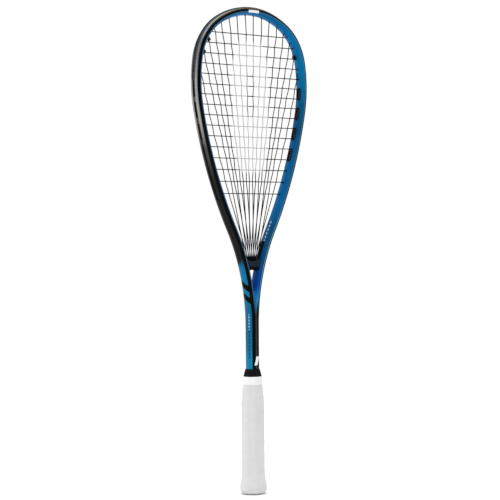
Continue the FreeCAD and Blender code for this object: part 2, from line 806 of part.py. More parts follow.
os.makedirs("parts", exist_ok=True)
save("frame", frame())
save("head_guard", head_guard())
for number in range(PORTS):
    save("port_insert_left_%d" % (number + 1), port_insert(number, -1))
    save("port_insert_right_%d" % (number + 1), port_insert(number, 1))
save("lower_grommet_strip_left", grommet_strip(-1))
save("lower_grommet_strip_right", grommet_strip(1))
save("throat_insert", throat_insert())
save("main_string", main_string())
save("cross_string", cross_string())
save("handle_pallet", handle_pallet())
save("butt_cap", butt_cap())
save("butt_cap_staples", cap_staples())
save("grip_start_staple", start_staple())
save("grip_tape", grip_tape())
save("finishing_tape", finishing_tape())
save("collar", collar())
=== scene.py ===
from functools import partialmethod
from math import atan2, ceil, cos, pi, radians, sin, sqrt, tan

import bmesh
import bpy
import numpy as np
from mathutils import Matrix, Vector


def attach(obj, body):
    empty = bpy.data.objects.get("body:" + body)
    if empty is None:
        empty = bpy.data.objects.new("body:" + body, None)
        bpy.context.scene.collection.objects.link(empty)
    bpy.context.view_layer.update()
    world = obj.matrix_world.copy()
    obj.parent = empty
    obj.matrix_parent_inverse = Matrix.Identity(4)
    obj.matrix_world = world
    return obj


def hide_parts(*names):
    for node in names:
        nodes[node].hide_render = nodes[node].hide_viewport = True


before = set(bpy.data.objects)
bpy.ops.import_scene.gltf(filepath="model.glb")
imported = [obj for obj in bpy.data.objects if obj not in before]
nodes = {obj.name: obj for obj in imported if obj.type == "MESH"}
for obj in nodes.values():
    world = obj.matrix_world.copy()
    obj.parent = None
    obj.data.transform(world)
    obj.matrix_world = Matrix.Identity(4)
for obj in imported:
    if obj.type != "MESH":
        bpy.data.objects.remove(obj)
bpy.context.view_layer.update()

# Squash racket. Shapes are worked out in millimetres and written in metres.
MM = 0.001

# Centre line of the right half of the frame from the top centre
HOOP_ARCS = [(119.0, 31.0), (75.5, 49.3), (197.5, 21.0), (606.0, 16.2)]
HOOP_LENGTH = sum(radius * radians(turn) for radius, turn in HOOP_ARCS)
THROAT_R = 288.0
LEG_X = 2.7
LEG_FOOT_Z = 8.0
TOP_Z = 678.7
HOOP_ROWS, LEG_ROWS = 150, 130

# Tube section: side arcs and crest arcs
HALF = 5.5
SIDE_R = 13.4
CREST_R = 3.8
CREST_Y = 5.45
CREST_REACH = atan2(CREST_Y, SIDE_R - HALF)
CREST_STEPS = 12
SKIN_AGREES = 0.93

# Web between the legs, as levels of height, half width and half depth, and its round crotch
WEB_LEVELS = [(8.0, 2.7, 8.75), (246.0, 2.7, 8.75), (254.0, 3.6, 7.9), (262.0, 4.2, 6.5), (269.0, 4.5, 5.5),
              (284.0, 4.5, 5.5)]
CROTCH_Z = 287.0
CROTCH_R = 2.6
CROTCH_HALF_DEPTH = 5.5

# Groove and its fillings
GROOVE_FLOOR = 3.3
GROOVE_HALF = 2.4
GROOVE_LIP = 0.25
GROOVE_END_ROOMS = (2.4, 2.0, 1.4, 0.8, 0.4, 0.15, 0.06, 0.0)
CHANNEL_FLOOR = 3.9
CHANNEL_HALF = 1.35
RAIL_TOP = 5.3
GUARD_PROUD = 0.8
GUARD_HALF = 3.1
GUARD_END_Z = 578.0
STRIP_LAP = 5.0
SEAT_GAP = 0.05

# Ports and their plugs, as levels of n, extra length and width
PORT_CUT = [(-9.0, 4.6, 7.8), (-2.5, 4.6, 7.8)]
PLUG_SKIN = [(-2.6, 4.5, 7.7), (-5.6, 4.5, 7.7), (-5.88, 4.3, 7.5), (-6.0, 3.9, 7.1)]
PLUG_POCKET = [(-6.0, 11.3, 5.3), (-5.9, 11.0, 5.0), (-5.0, 10.8, 4.8), (-5.0, 6.5, 0.5)]
PLUG_RAIL_LAP = 3.4

# Strings
STRING_R = 0.64
LANE = 0.66
WEAVE = 0.65
BORE_R = 0.78
BARREL_R = 1.3
BARREL_END = 6.3
HOLE_R = 1.4
HOLE_SPAN = (-9.0, -2.0)
MOUTH = 7.1
GROOVE_RUN = 4.62
CORNER_R = 1.0
BEND_R = 6.0
GROOVE_BEND_R = 100.0
BEND_SHARE = 0.45
MOUTH_ROOM = 4.0
TAIL = 6.0
MAINS = 16
CROSSES = 16
MAIN_PITCH = 12.85
MAIN_PITCH_Z = 610.0
OUTER_BOW = 4.8
OUTER_BOW_REACH = 80.0
OUTER_BOW_POWER = 0.7
FIRST_CROSS_Z = 646.1
CROSS_PITCH = 14.1
CROSS_SPREAD = 0.036
CLOSEST_CROSS = 6
COLUMN_PITCH_TOP = 2.6
COLUMN_PITCH_FOOT = 1.8
COLUMN_DEPTH = 2.2
COLUMN_TOP_Z = 332.0
INSERT_HALF_DEPTH = 5.3
INSERT_REACH = 15.0
INSERT_STEPS = 72
FIN_DEPTH = 1.1
FIN_REACH = 10.6
FIN_LEVELS = (0.35, 0.7)
INSERT_TOP = [(-19.0, 337.0), (0.0, 327.0), (19.0, 337.0)]
INSERT_FOOT = [(12.3, 311.0), (0.0, 316.5), (-12.3, 311.0)]
LOOP_DROP = 0.8
WING_TOP_Z = 353.0
WING_FOOT_Z = 326.0
WING_THICKNESS = 1.2
WING_HALF_DEPTH = 3.0
FIRST_PORT_CROSS = 6
PORTS = 4
FIRST_STRIP_CROSS = 14
KNOT_R = 1.9
KNOT_GAP = 0.5
KNOT_ROOM = 2.3
KNOT_TAIL = ((1.0, 0.5), (2.2, 1.3), (3.6, 1.9), (5.0, 1.8), (6.2, 1.0), (7.0, -0.2))


# Small mesh tools

def add_object(name, data):
    made = bpy.data.objects.new(name, data)
    bpy.context.scene.collection.objects.link(made)
    return made


def new_object(name, verts, faces):
    """Object in the scene from points in millimetres and faces."""
    mesh = bpy.data.meshes.new(name)
    mesh.from_pydata([tuple(v) for v in verts], [], faces)
    return add_object(name, mesh)


def loft_faces(rows, count, first=0, closed_ends=True, looped=False):
    """Faces of rows of points joined in turn; each row is a closed ring."""
    faces = []
    for i in range(rows if looped else rows - 1):
        a, b = first + i * count, first + (i + 1) % rows * count
        for j in range(count):
            k = (j + 1) % count
            faces.append((a + j, a + k, b + k, b + j))
    if closed_ends and not looped:
        faces.append(tuple(range(first + count - 1, first - 1, -1)))
        faces.append(tuple(range(first + (rows - 1) * count, first + rows * count)))
    return faces


class Shell:
    """Several closed solids gathered into one mesh."""

    def __init__(self):
        self.verts, self.faces = [], []

    def loft(self, rows, looped=False):
        first = len(self.verts)
        for row in rows:
            self.verts += [tuple(point) for point in row]
        self.faces += loft_faces(len(rows), len(rows[0]), first, True, looped)

    def build(self, name):
        made = new_object(name, self.verts, self.faces)
        work = bmesh.new()
        work.from_mesh(made.data)
        bmesh.ops.remove_doubles(work, verts=work.verts, dist=1e-5)
        bmesh.ops.recalc_face_normals(work, faces=work.faces)
        work.to_mesh(made.data)
        work.free()
        return made


def solid(name, rows, looped=False):
    """One loft as an object."""
    shell = Shell()
    shell.loft(rows, looped)
    return shell.build(name)


def circle(count):
    """Angles of a number of points round a full turn."""
    return np.linspace(0, 2 * pi, count, endpoint=False)


def ramp_up(value, start, reach):
    """Share of a climb from nought at the start to one after the reach."""
    return min(1.0, max(0.0, (value - start) / reach))


def mirrored(half):
    """Closed section from its half on one side of the beam's middle."""
    return half + [(n, -y) for n, y in half[-2:0:-1]]


def boolean(target, tool, operation):
    """Join or cut one mesh with another, which is then removed."""
    change = target.modifiers.new(operation, "BOOLEAN")
    change.operation = operation
    change.solver = "MANIFOLD"
    change.object = tool
    graph = bpy.context.evaluated_depsgraph_get()
    mesh = bpy.data.meshes.new_from_object(target.evaluated_get(graph))
    target.modifiers.clear()
    target.data = mesh
    bpy.data.objects.remove(tool)


def smooth(made, degrees=35):
    made.data.shade_smooth()
    made.data.set_sharp_from_angle(angle=radians(degrees))


# Path of the frame

def centre_line(step=0.5):
    """Rows of arc length, X, Z and heading from the top centre down to the foot."""
    rows = []
    x, z, heading, done = 0.0, TOP_Z, 0.0, 0.0

    def bend(radius, turn):
        nonlocal x, z, heading, done
        shares = np.arange(0.0, 1.0, step / (radius * turn))
        h = heading + turn * shares
        rows.extend(zip(done + radius * turn * shares, x + radius * (np.sin(h) - sin(heading)),
                        z + radius * (np.cos(h) - cos(heading)), h))
        x += radius * (sin(heading + turn) - sin(heading))
        z += radius * (cos(heading + turn) - cos(heading))
        heading += turn
        done += radius * turn

    def straight(length):
        nonlocal x, z, done
        rows.extend((done + length * t, x + length * t * cos(heading), z - length * t * sin(heading), heading)
                    for t in np.arange(0.0, 1.0, step / length))
        x += length * cos(heading)
        z -= length * sin(heading)
        done += length

    for radius, turn in HOOP_ARCS:
        bend(radius, radians(turn))
    straight((LEG_X - x + THROAT_R * (1 - sin(heading))) / cos(heading))
    bend(-THROAT_R, pi / 2 - heading)
    straight(z - LEG_FOOT_Z)
    rows.append((done, x, z, heading))
    return np.array(rows, float)


PATH = centre_line()
PATH_LENGTH = PATH[-1, 0]


def at(s, n=0.0, side=1):
    """X and Z at a distance n outwards from the centre line, s millimetres from the top centre."""
    x, z, h = (np.interp(s, PATH[:, 0], PATH[:, c]) for c in (1, 2, 3))
    return side * (x + n * np.sin(h)), z + n * np.cos(h)


def point_at(s, n, side, y):
    x, z = at(s, n, side)
    return Vector((x, y, z))


def ring_at(s, section, side=1):
    """A section of (n, y) pairs set at a station; a negative s is on the other half."""
    return [point_at(abs(s), n, side if s >= 0 else -side, y) for n, y in section]


def find(test, low, high):
    """Place between low and high where a falling test reaches nought."""
    for _ in range(50):
        middle = (low + high) / 2
        if test(middle) > 0:
            low = middle
        else:
            high = middle
    return low


def length_at_height(height, n=0.0):
    return find(lambda s: at(s, n)[1] - height, 0.0, HOOP_LENGTH)


def side_n(y, growth=0.0):
    """Distance of the tube's side from the centre line at a place across the beam."""
    return sqrt((SIDE_R + growth) ** 2 - y ** 2) - SIDE_R + HALF


# String layout

CROSS_Z = [FIRST_CROSS_Z]
for row in range(1, CROSSES):
    CROSS_Z.append(CROSS_Z[-1] - CROSS_PITCH - CROSS_SPREAD * (row - CLOSEST_CROSS) ** 2)


def column_of(k, pitch):
    """X of the throat column of main k; each pair of mains shares one."""
    return ((k - 1) // 2 - (MAINS / 2 - 1) / 2) * pitch


def main_x(k, z):
    """X of main k at a height: a straight fan from its column."""
    foot = column_of(k, COLUMN_PITCH_TOP)
    head = (k - (MAINS + 1) / 2) * MAIN_PITCH
    return foot + (head - foot) * (z - COLUMN_TOP_Z) / (MAIN_PITCH_Z - COLUMN_TOP_Z)


def bowed_x(k, z):
    """X of main k inside the bed, where the outermost two stand off the straight fan."""
    if k not in (1, MAINS):
        return main_x(k, z)
    top = at(MAIN_S[k], -MOUTH)[1]
    share = ramp_up(top - z, 0.0, OUTER_BOW_REACH) ** OUTER_BOW_POWER
    return main_x(k, z) + side_of(k) * OUTER_BOW * share


def main_station(k):
    """Station of the hole where main k meets the hoop."""
    twin = max(k, MAINS + 1 - k)
    return find(lambda s: main_x(twin, at(s, -MOUTH)[1]) - at(s, -MOUTH)[0], 0.0, HOOP_LENGTH)


MAIN_S = {k: main_station(k) for k in range(1, MAINS + 1)}
CROSS_S = {j: length_at_height(CROSS_Z[j - 1], -MOUTH) for j in range(1, CROSSES + 1)}
GROOVE_END = CROSS_S[CROSSES] + STRIP_LAP
GUARD_END = length_at_height(GUARD_END_Z)


def side_of(k):
    return 1 if k > MAINS / 2 else -1


def port_span(port):
    upper = FIRST_PORT_CROSS + 2 * port
    return CROSS_S[upper], CROSS_S[upper + 1]


# Frame

def half_section(groove):
    """Half of the tube section, from the outer side round the crest to the inner side."""
    if groove:
        lip = GROOVE_LIP
        points = [(GROOVE_FLOOR, 0.0), (GROOVE_FLOOR, groove / 2), (GROOVE_FLOOR, groove),
                  (side_n(groove) - lip, groove), (side_n(groove + lip), groove + lip)]
    else:
        points = [(side_n(y), y) for y in (0.0, 1.2, 2.0, 2.4, 2.65)]
    points += [(side_n(y), y) for y in (3.4, 4.4, 5.3, 6.2, 7.0)]
    for i in range(CREST_STEPS + 1):
        angle = CREST_REACH + (pi - 2 * CREST_REACH) * i / CREST_STEPS
        points.append((CREST_R * cos(angle), CREST_Y + CREST_R * sin(angle)))
    return points + [(-side_n(y), y) for y in (6.8, 5.8, 4.8, 3.6, 2.4, 1.2, 0.0)]


def groove_width(s):
    """Half width of the groove, round at its end."""
    room = GROOVE_END - s
    if room <= SEAT_GAP:
        return 0.0
    if room >= GROOVE_HALF:
        return GROOVE_HALF
    return sqrt(GROOVE_HALF ** 2 - (GROOVE_HALF - room) ** 2)


def frame_half(side):
    stops = set(np.linspace(0.0, HOOP_LENGTH, HOOP_ROWS)) | set(np.linspace(HOOP_LENGTH, PATH_LENGTH, LEG_ROWS))
    stops |= {GROOVE_END - room for room in GROOVE_END_ROOMS}
    return solid("half", [ring_at(s, mirrored(half_section(groove_width(s))), side) for s in sorted(stops)])


def throat_web():
    """Filling between the legs: flush in the shaft, sunk between the arms, with a round crotch."""
    places = (-4.5, -2.6, -2.2, -1.4, -0.5, 0.5, 1.4, 2.2, 2.6, 4.5)
    top = [(x, CROTCH_Z - CROTCH_R * sqrt(max(0.0, 1 - (x / CROTCH_R) ** 2))) for x in places]
    levels = [([(x, z) for x in np.linspace(-half, half, len(top))], depth) for z, half, depth in WEB_LEVELS]
    levels.append((top, CROTCH_HALF_DEPTH))
    return solid("web", [[(x, -depth, z) for x, z in line] + [(x, depth, z) for x, z in line[::-1]]
                         for line, depth in levels])


def stadium(length, width, ends=8):
    """Outline of a round-ended slot along s and y."""
    half, r = length / 2 - width / 2, width / 2
    points = []
    for centre, start in ((half, -pi / 2), (-half, pi / 2)):
        for i in range(ends + 1):
            angle = start + pi * i / ends
            points.append((centre + r * cos(angle), r * sin(angle)))
    return points


def tangent_frame(s, side):
    """Point, outward direction and tangent of the centre line as vectors in X and Z."""
    x, z = at(s, 0.0, side)
    x1, z1 = at(s, 1.0, side)
    outward = np.array([x1 - x, 0.0, z1 - z])
    tangent = np.array([outward[2], 0.0, -outward[0]])
    return np.array([x, 0.0, z]), outward, tangent


def port_rows(port, side, levels):
    """Rings of a port's outline at levels of n, extra length and width."""
    a, b = port_span(port)
    origin, outward, tangent = tangent_frame((a + b) / 2, side)
    return [[tuple(origin + outward * n + tangent * t + np.array([0.0, y, 0.0]))
             for t, y in stadium(b - a + length, width)] for n, length, width in levels]


def turned_rows(s, side, y, profile, sides=16):
    """Rings of (radius, n) round an axis square to the centre line."""
    origin, outward, tangent = tangent_frame(s, side)
    rows = []
    for radius, n in profile:
        offsets = [tangent * (radius * cos(t)) + np.array([0.0, y + radius * sin(t), 0.0]) for t in circle(sides)]
        rows.append([tuple(origin + outward * n + offset) for offset in offsets])
    return rows


def string_holes():
    """Station, side and lane of each hole with a barrel of its own in the bumper or a strip."""
    mains = [(MAIN_S[k], side_of(k), LANE) for k in MAIN_S]
    upper = [(CROSS_S[j], side, -LANE) for j in range(1, FIRST_PORT_CROSS) for side in (-1, 1)]
    lower = [(CROSS_S[j], side, -LANE) for j in range(FIRST_STRIP_CROSS, CROSSES + 1) for side in (-1, 1)]
    return mains, upper, lower


def path_places(points):
    """Distance outwards from the centre line, Y and heading at points in millimetres, as arrays."""
    x, y, z = np.abs(points[:, 0]), points[:, 1], points[:, 2]
    nearest = np.empty(len(points), int)
    for start in range(0, len(points), 4000):
        part = slice(start, start + 4000)
        gap = (x[part, None] - PATH[None, :, 1]) ** 2 + (z[part, None] - PATH[None, :, 2]) ** 2
        nearest[part] = gap.argmin(1)
    base = PATH[nearest]
    dx, dz, h = x - base[:, 1], z - base[:, 2], base[:, 3]
    return dx * np.sin(h) + dz * np.cos(h), y, h


def section_normals(n, y):
    """Outward direction of the tube's skin in n and y."""
    depth = np.abs(y)
    side_angle = np.arctan2(depth, np.abs(n) + SIDE_R - HALF)
    on_side = side_angle < CREST_REACH
    a = np.where(on_side, np.sign(n) * (np.abs(n) + SIDE_R - HALF), n)
    b = np.where(on_side, depth, depth - CREST_Y) * np.sign(y)
    size = np.maximum(np.hypot(a, b), 1e-6)
    return a / size, b / size


def read(collection, name, width=1, kind=float):
    values = np.empty(len(collection) * width, kind)
    collection.foreach_get(name, values)
    return values if width == 1 else values.reshape(-1, width)


def store(mesh, name, values):
    layer = mesh.attributes.new(name, "FLOAT", "POINT")
    layer.data.foreach_set("value", np.asarray(values, np.float32))


def finish_skin(mesh):
    """Exact normals on the tube's skin and the places across it that the paint follows."""
    points = read(mesh.vertices, "co", 3)
    n, y, h = path_places(points)
    a, b = section_normals(n, y)
    mirror = np.where(points[:, 0] < 0, -1.0, 1.0)
    skin = np.stack([mirror * a * np.sin(h), b, a * np.cos(h)], 1)
    flat = np.repeat(read(mesh.polygons, "normal", 3), read(mesh.polygons, "loop_total", kind=int), axis=0)
    wanted = skin[read(mesh.loops, "vertex_index", kind=int)]
    agree = (wanted * flat).sum(1) > SKIN_AGREES
    mesh.shade_smooth()
    mesh.normals_split_custom_set(np.where(agree[:, None], wanted, flat).tolist())
    store(mesh, "across", n)
    store(mesh, "beam", y)


def frame_piece():
    body = frame_half(1)
    boolean(body, frame_half(-1), "UNION")
    boolean(body, throat_web(), "UNION")
    holes = Shell()
    mains, upper, lower = string_holes()
    for s, side, lane in mains + upper + lower:
        holes.loft(turned_rows(s, side, lane, [(HOLE_R, n) for n in HOLE_SPAN]))
    for side in (-1, 1):
        for port in range(PORTS):
            holes.loft(port_rows(port, side, PORT_CUT))
    boolean(body, holes.build("holes"), "DIFFERENCE")
    body.name = "frame_shell"
    finish_skin(body.data)
    return body


# Fittings of the hoop

def barrel_profile():
    """Moulded barrel with a rounded mouth and a bore that the string fills."""
    r, mouth = BARREL_R, -BARREL_END
    return [(0.02, -3.4), (BORE_R, -3.4), (BORE_R, mouth + 0.12), (BORE_R + 0.1, mouth), (r - 0.2, mouth),
            (r - 0.06, mouth + 0.07), (r, mouth + 0.22), (r, -2.6), (0.02, -2.6)]


def add_barrels(shell, holes):
    """A barrel in each hole, given by station, side and lane."""
    for s, side, lane in holes:
        shell.loft(turned_rows(s, side, lane, barrel_profile()))


def channel():
    """Start of a section with a string channel: its floor and its side."""
    return [(CHANNEL_FLOOR, 0.0), (CHANNEL_FLOOR, CHANNEL_HALF - 0.15), (CHANNEL_FLOOR + 0.15, CHANNEL_HALF)]


def guard_section():
    """Bumper: narrow skin over the groove's edges, the rib in the groove and the string channel."""
    rim = side_n(1.4, GUARD_PROUD)
    foot = GROOVE_FLOOR + SEAT_GAP
    return mirrored(channel() + [
        (rim - 0.35, CHANNEL_HALF), (rim - 0.1, CHANNEL_HALF + 0.1),
        *[(side_n(y, GUARD_PROUD), y) for y in (1.75, 2.2, 2.7)], (side_n(3.0, GUARD_PROUD) - 0.12, 3.0),
        (side_n(GUARD_HALF) + 0.45, GUARD_HALF), (side_n(GUARD_HALF) + 0.03, 3.06), (side_n(2.4) + 0.03, 2.38),
        (foot, 2.36), (foot, 0.0)])


def rail_section():
    """Groove filling of the inserts and strips, with its string channel."""
    foot = GROOVE_FLOOR + SEAT_GAP
    return mirrored(channel() + [
        (RAIL_TOP - 0.25, CHANNEL_HALF), (RAIL_TOP - 0.02, CHANNEL_HALF + 0.2), (RAIL_TOP - 0.02, 2.1),
        (RAIL_TOP - 0.25, 2.35), (foot, 2.35), (foot, 0.0)])


def loft_between(shell, section, start, end, side=1, step=2.5):
    """Section carried from one station to another, with its last ends drawn in a little."""
    count = max(4, int((end - start) / step))
    middle = sum(n for n, _ in section) / len(section)
    rows = []
    for i, s in enumerate(np.linspace(start, end, count + 1)):
        share = 0.9 if i in (0, count) else 1.0
        rows.append(ring_at(s, [(middle + (n - middle) * share, y * share) for n, y in section], side))
    shell.loft(rows)


def head_guard_piece():
    mains, upper, _ = string_holes()
    shell = Shell()
    loft_between(shell, guard_section(), -GUARD_END, GUARD_END)
    add_barrels(shell, mains + upper)
    return shell.build("bumper")


def port_piece(port, side, word):
    """Plug of a double port: a skin with a sunk pocket, two barrels and the rail in the groove."""
    a, b = port_span(port)
    shell = Shell()
    pocket = [(n, length - (b - a), width) for n, length, width in PLUG_POCKET]
    shell.loft(port_rows(port, side, PLUG_SKIN + pocket))
    add_barrels(shell, [(a, side, -LANE), (b, side, -LANE)])
    loft_between(shell, rail_section(), a - PLUG_RAIL_LAP, b + PLUG_RAIL_LAP, side)
    return shell.build("port_plug_%s_%d" % (word, port + 1))


def strip_piece(side, word):
    shell = Shell()
    loft_between(shell, rail_section(), CROSS_S[FIRST_STRIP_CROSS] - STRIP_LAP, GROOVE_END - 0.3, side)
    rows = range(FIRST_STRIP_CROSS, CROSSES + 1)
    add_barrels(shell, [(CROSS_S[j], side, -LANE) for j in rows])
    return shell.build("grommet_rail_" + word)


def arc_z(points, x):
    """Height of the circle through a symmetric edge, crown and edge."""
    edge_x, edge_z = points[0]
    crown = points[1][1]
    rise = crown - edge_z
    radius = (edge_x ** 2 + rise ** 2) / (2 * abs(rise))
    return crown - (radius - sqrt(radius ** 2 - x ** 2)) * (1 if rise > 0 else -1)


def column_points(k):
    """Top and foot of main k's way through the throat insert, odd mains in front."""
    y = -COLUMN_DEPTH if k % 2 else COLUMN_DEPTH
    foot_x = column_of(k, COLUMN_PITCH_FOOT)
    top = Vector((column_of(k, COLUMN_PITCH_TOP), y, COLUMN_TOP_Z))
    return top, Vector((foot_x, y, arc_z(INSERT_FOOT, foot_x) - LOOP_DROP))


def add_wings(shell):
    """Thin tongues that lie along the inner sides of the arms."""
    start, end = [find(lambda s: at(s)[1] - z, HOOP_LENGTH, PATH_LENGTH) for z in (WING_TOP_Z, WING_FOOT_Z)]
    edge, face = WING_HALF_DEPTH, -HALF - SEAT_GAP - WING_THICKNESS
    section = [(-side_n(y) - SEAT_GAP, y) for y in np.linspace(-edge, edge, 7)]
    section += [(face + 0.5, edge), (face + 0.15, edge - 0.15), (face, edge - 0.5), (face, 0.9), (face - 0.12, 0.0)]
    section += [(n, -y) for n, y in section[-2:-5:-1]] + [(face + 0.5, -edge)]
    for side in (-1, 1):
        loft_between(shell, section, start, end, side, 2.0)


def throat_block():
    """Insert between the arms, with a row of fins over its string columns."""
    depths = [-1.0, -0.93, -0.75, -0.4, 0.4, 0.75, 0.93, 1.0]
    rows = []
    for x in (-INSERT_REACH + 2 * INSERT_REACH * i / INSERT_STEPS for i in range(INSERT_STEPS + 1)):
        low, high = arc_z(INSERT_FOOT, min(abs(x), INSERT_FOOT[0][0])), arc_z(INSERT_TOP, x)
        ridge = max(0.0, cos(2 * pi * x / COLUMN_PITCH_TOP)) ** 0.5
        fin = FIN_DEPTH * ridge if abs(x) < FIN_REACH else 0.0
        slope = 0.35 * max(0.0, abs(x) - FIN_REACH)
        face = slope - INSERT_HALF_DEPTH
        half = INSERT_HALF_DEPTH - slope - 0.5
        front = [(x, face + fin, low + (high - low) * share) for share in FIN_LEVELS]
        front = [(x, face + 0.35, low + 0.5)] + front + [(x, face + 0.35, high - 0.5)]
        top = [(x, depth * half, high - 0.12 * (abs(depth) > 0.9)) for depth in depths]
        foot = [(x, -depth * half, low + 0.12 * (abs(depth) > 0.9)) for depth in depths]
        rows.append(front + top + [(px, -py, pz) for px, py, pz in front[::-1]] + foot)
    block = solid("throat_block", rows)
    bores = Shell()
    for k in range(1, MAINS + 1):
        top, foot = column_points(k)
        way = (foot - top).normalized()
        across, beam = Vector((way.z, 0, -way.x)), Vector((0, 1, 0))
        bores.loft([[tuple(start + (across * cos(t) + beam * sin(t)) * BORE_R) for t in circle(12)]
                    for start in (top - way * 12, top + way * 28)])
    boolean(block, bores.build("bores"), "DIFFERENCE")
    wings = Shell()
    add_wings(wings)
    boolean(block, wings.build("wings"), "UNION")
    return block


# Strings

def rounded(points, radii, step=1.6):
    """Points along straight runs joined by tangent arcs."""
    path = [points[0]]
    for i in range(1, len(points) - 1):
        corner = points[i]
        behind, ahead = points[i - 1] - corner, points[i + 1] - corner
        room = min(behind.length, ahead.length)
        behind.normalize()
        ahead.normalize()
        half_turn = (pi - behind.angle(ahead)) / 2
        if half_turn < 1e-4:
            path.append(corner)
            continue
        radius = min(radii[i], BEND_SHARE * room / tan(half_turn))
        cut = radius * tan(half_turn)
        inwards = (behind + ahead).normalized()
        centre = corner + inwards * (radius / cos(half_turn))
        start, end = corner + behind * cut - centre, corner + ahead * cut - centre
        turn = 2 * half_turn
        count = max(2, ceil(turn / 0.35), ceil(turn * radius / step))
        for j in range(count + 1):
            share = j / count
            path.append(centre + (start * sin((1 - share) * turn) + end * sin(share * turn)) / sin(turn))
    path.append(points[-1])
    dense = [path[0]]
    for point in path[1:]:
        gap = point - dense[-1]
        if gap.length < 0.02:
            continue
        count = max(1, int(gap.length / (4 * step)))
        base = dense[-1]
        for j in range(1, count + 1):
            dense.append(base + gap * (j / count))
    return dense


def tube_rows(path, radius, sides=10):
    """Rings along a path, turned as little as possible from one to the next."""
    rows = []
    up = None
    for i, point in enumerate(path):
        along = (path[min(i + 1, len(path) - 1)] - path[max(i - 1, 0)]).normalized()
        if up is None:
            up = along.orthogonal().normalized()
        up = (up - along * up.dot(along)).normalized()
        across = along.cross(up)
        rows.append([tuple(point + (up * cos(t) + across * sin(t)) * radius) for t in circle(sides)])
    return rows


def weave_sign(k, j):
    """Side of the bed on which main k passes cross j."""
    return 1 if (k + j) % 2 == 0 else -1


def crossings(k):
    """Crosses that main k meets inside the hoop."""
    top = at(MAIN_S[k], -MOUTH)[1]
    return [j for j in range(1, CROSSES + 1) if CROSS_Z[j - 1] < top - MOUTH_ROOM]


def groove_points(start, end, side, lane):
    """Points of a string in the groove outside the hoop."""
    steps = max(1, ceil(abs(end - start) / 5.0))
    return [point_at(s, GROOVE_RUN, side, lane) for s in np.linspace(start, end, steps + 1)]


def loop_over(start, end, start_side, end_side, lane):
    if start_side == end_side:
        return groove_points(start, end, start_side, lane)
    return groove_points(start, 0.0, start_side, lane) + groove_points(0.0, end, end_side, lane)[1:]


def woven(points, end):
    """Lift the corners so that the rounded string weaves fully."""
    for i in range(1, end):
        gap = min((points[i].xz - points[n].xz).length for n in (i - 1, i + 1))
        half_turn = atan2(2 * WEAVE, gap)
        bend = min(BEND_R, BEND_SHARE * gap / tan(half_turn))
        points[i].y *= WEAVE + bend * (1 / cos(half_turn) - 1)
    return points


class Route:
    """Corners of one string in order, each with the radius that rounds it."""

    def __init__(self):
        self.points, self.radii = [], []

    def add(self, points, radius):
        self.points += points
        self.radii += [radius] * len(points)

    def add_run(self, run, first, last):
        self.add(run[:first], CORNER_R)
        self.add(run[first:len(run) - last], BEND_R)
        self.add(run[len(run) - last:], CORNER_R)

    def add_loop(self, outside):
        self.add(outside[:1], CORNER_R)
        self.add(outside[1:-1], GROOVE_BEND_R)
        self.add(outside[-1:], CORNER_R)


def main_run(k):
    """Corners of main k from its barrel's mouth down to the foot of its column."""
    points = [point_at(MAIN_S[k], -MOUTH, side_of(k), LANE)]
    for j in crossings(k):
        points.append(Vector((bowed_x(k, CROSS_Z[j - 1]), weave_sign(k, j), CROSS_Z[j - 1])))
    points += column_points(k)
    return woven(points, len(points) - 2)


def cross_run(j):
    """Corners of cross j from left to right."""
    height = CROSS_Z[j - 1]
    reach = at(CROSS_S[j], -MOUTH)[0]
    points = [Vector((-reach, -LANE, height))]
    for k in range(1, MAINS + 1):
        if j in crossings(k):
            points.append(Vector((bowed_x(k, height), -weave_sign(k, j), height)))
    points.append(Vector((reach, -LANE, height)))
    return woven(points, len(points) - 1)


def tail(s, side, lane, step):
    """Stub of a string's end in the groove, from its end to its hole."""
    return [point_at(place, GROOVE_RUN, side, lane) for place in (s + step, s)]


def main_route():
    route = Route()
    route.add(tail(MAIN_S[1], -1, LANE, TAIL), CORNER_R)
    for k in range(1, MAINS + 1):
        run = main_run(k)
        if k % 2:
            route.add_run(run, 1, 2)
        else:
            route.add_run(run[::-1], 2, 1)
            if k < MAINS:
                route.add_loop(loop_over(MAIN_S[k], MAIN_S[k + 1], side_of(k), side_of(k + 1), LANE))
    route.add(tail(MAIN_S[MAINS], 1, LANE, TAIL)[::-1], CORNER_R)
    return route


def cross_route():
    route = Route()
    route.add(tail(CROSS_S[1], -1, -LANE, -TAIL), CORNER_R)
    for j in range(1, CROSSES + 1):
        side = 1 if j % 2 else -1
        run = cross_run(j)
        route.add_run(run if side > 0 else run[::-1], 1, 1)
        if j < CROSSES:
            route.add_loop(loop_over(CROSS_S[j], CROSS_S[j + 1], side, side, -LANE))
    route.add(tail(CROSS_S[CROSSES], -1, -LANE, -TAIL)[::-1], CORNER_R)
    return route


def knot_rows(centre, along, tail_way, inwards):
    """Overhand knot: a tube on a trefoil wound round the string, with a cut end that curls away."""
    u = along.orthogonal().normalized()
    v = along.cross(u)
    path = []
    for t in np.linspace(0.25, 2 * pi - 0.1, 44):
        r = KNOT_R * (1.0 + 0.32 * cos(3 * t))
        path.append(centre + u * (r * cos(2 * t)) + v * (r * sin(2 * t)) + along * (KNOT_R * 1.1 * sin(3 * t)))
    end = path[-1]
    path += [end + tail_way * reach + inwards * lean for reach, lean in KNOT_TAIL]
    return tube_rows(path, 0.62, 8)


def string_piece(name, route, tied):
    """A whole string with its tie-off knots, which bear on the barrels of the mains they are tied to."""
    shell = Shell()
    shell.loft(tube_rows(rounded(route.points, route.radii), STRING_R))
    for k in tied:
        mouth = point_at(MAIN_S[k], -MOUTH - KNOT_GAP, side_of(k), LANE)
        way = (main_run(k)[1] - mouth).normalized()
        _, outward, tangent = tangent_frame(MAIN_S[k], side_of(k))
        shell.loft(knot_rows(mouth + way * KNOT_ROOM, way, -Vector(tangent), -Vector(outward)))
    return shell.build(name)


# Handle

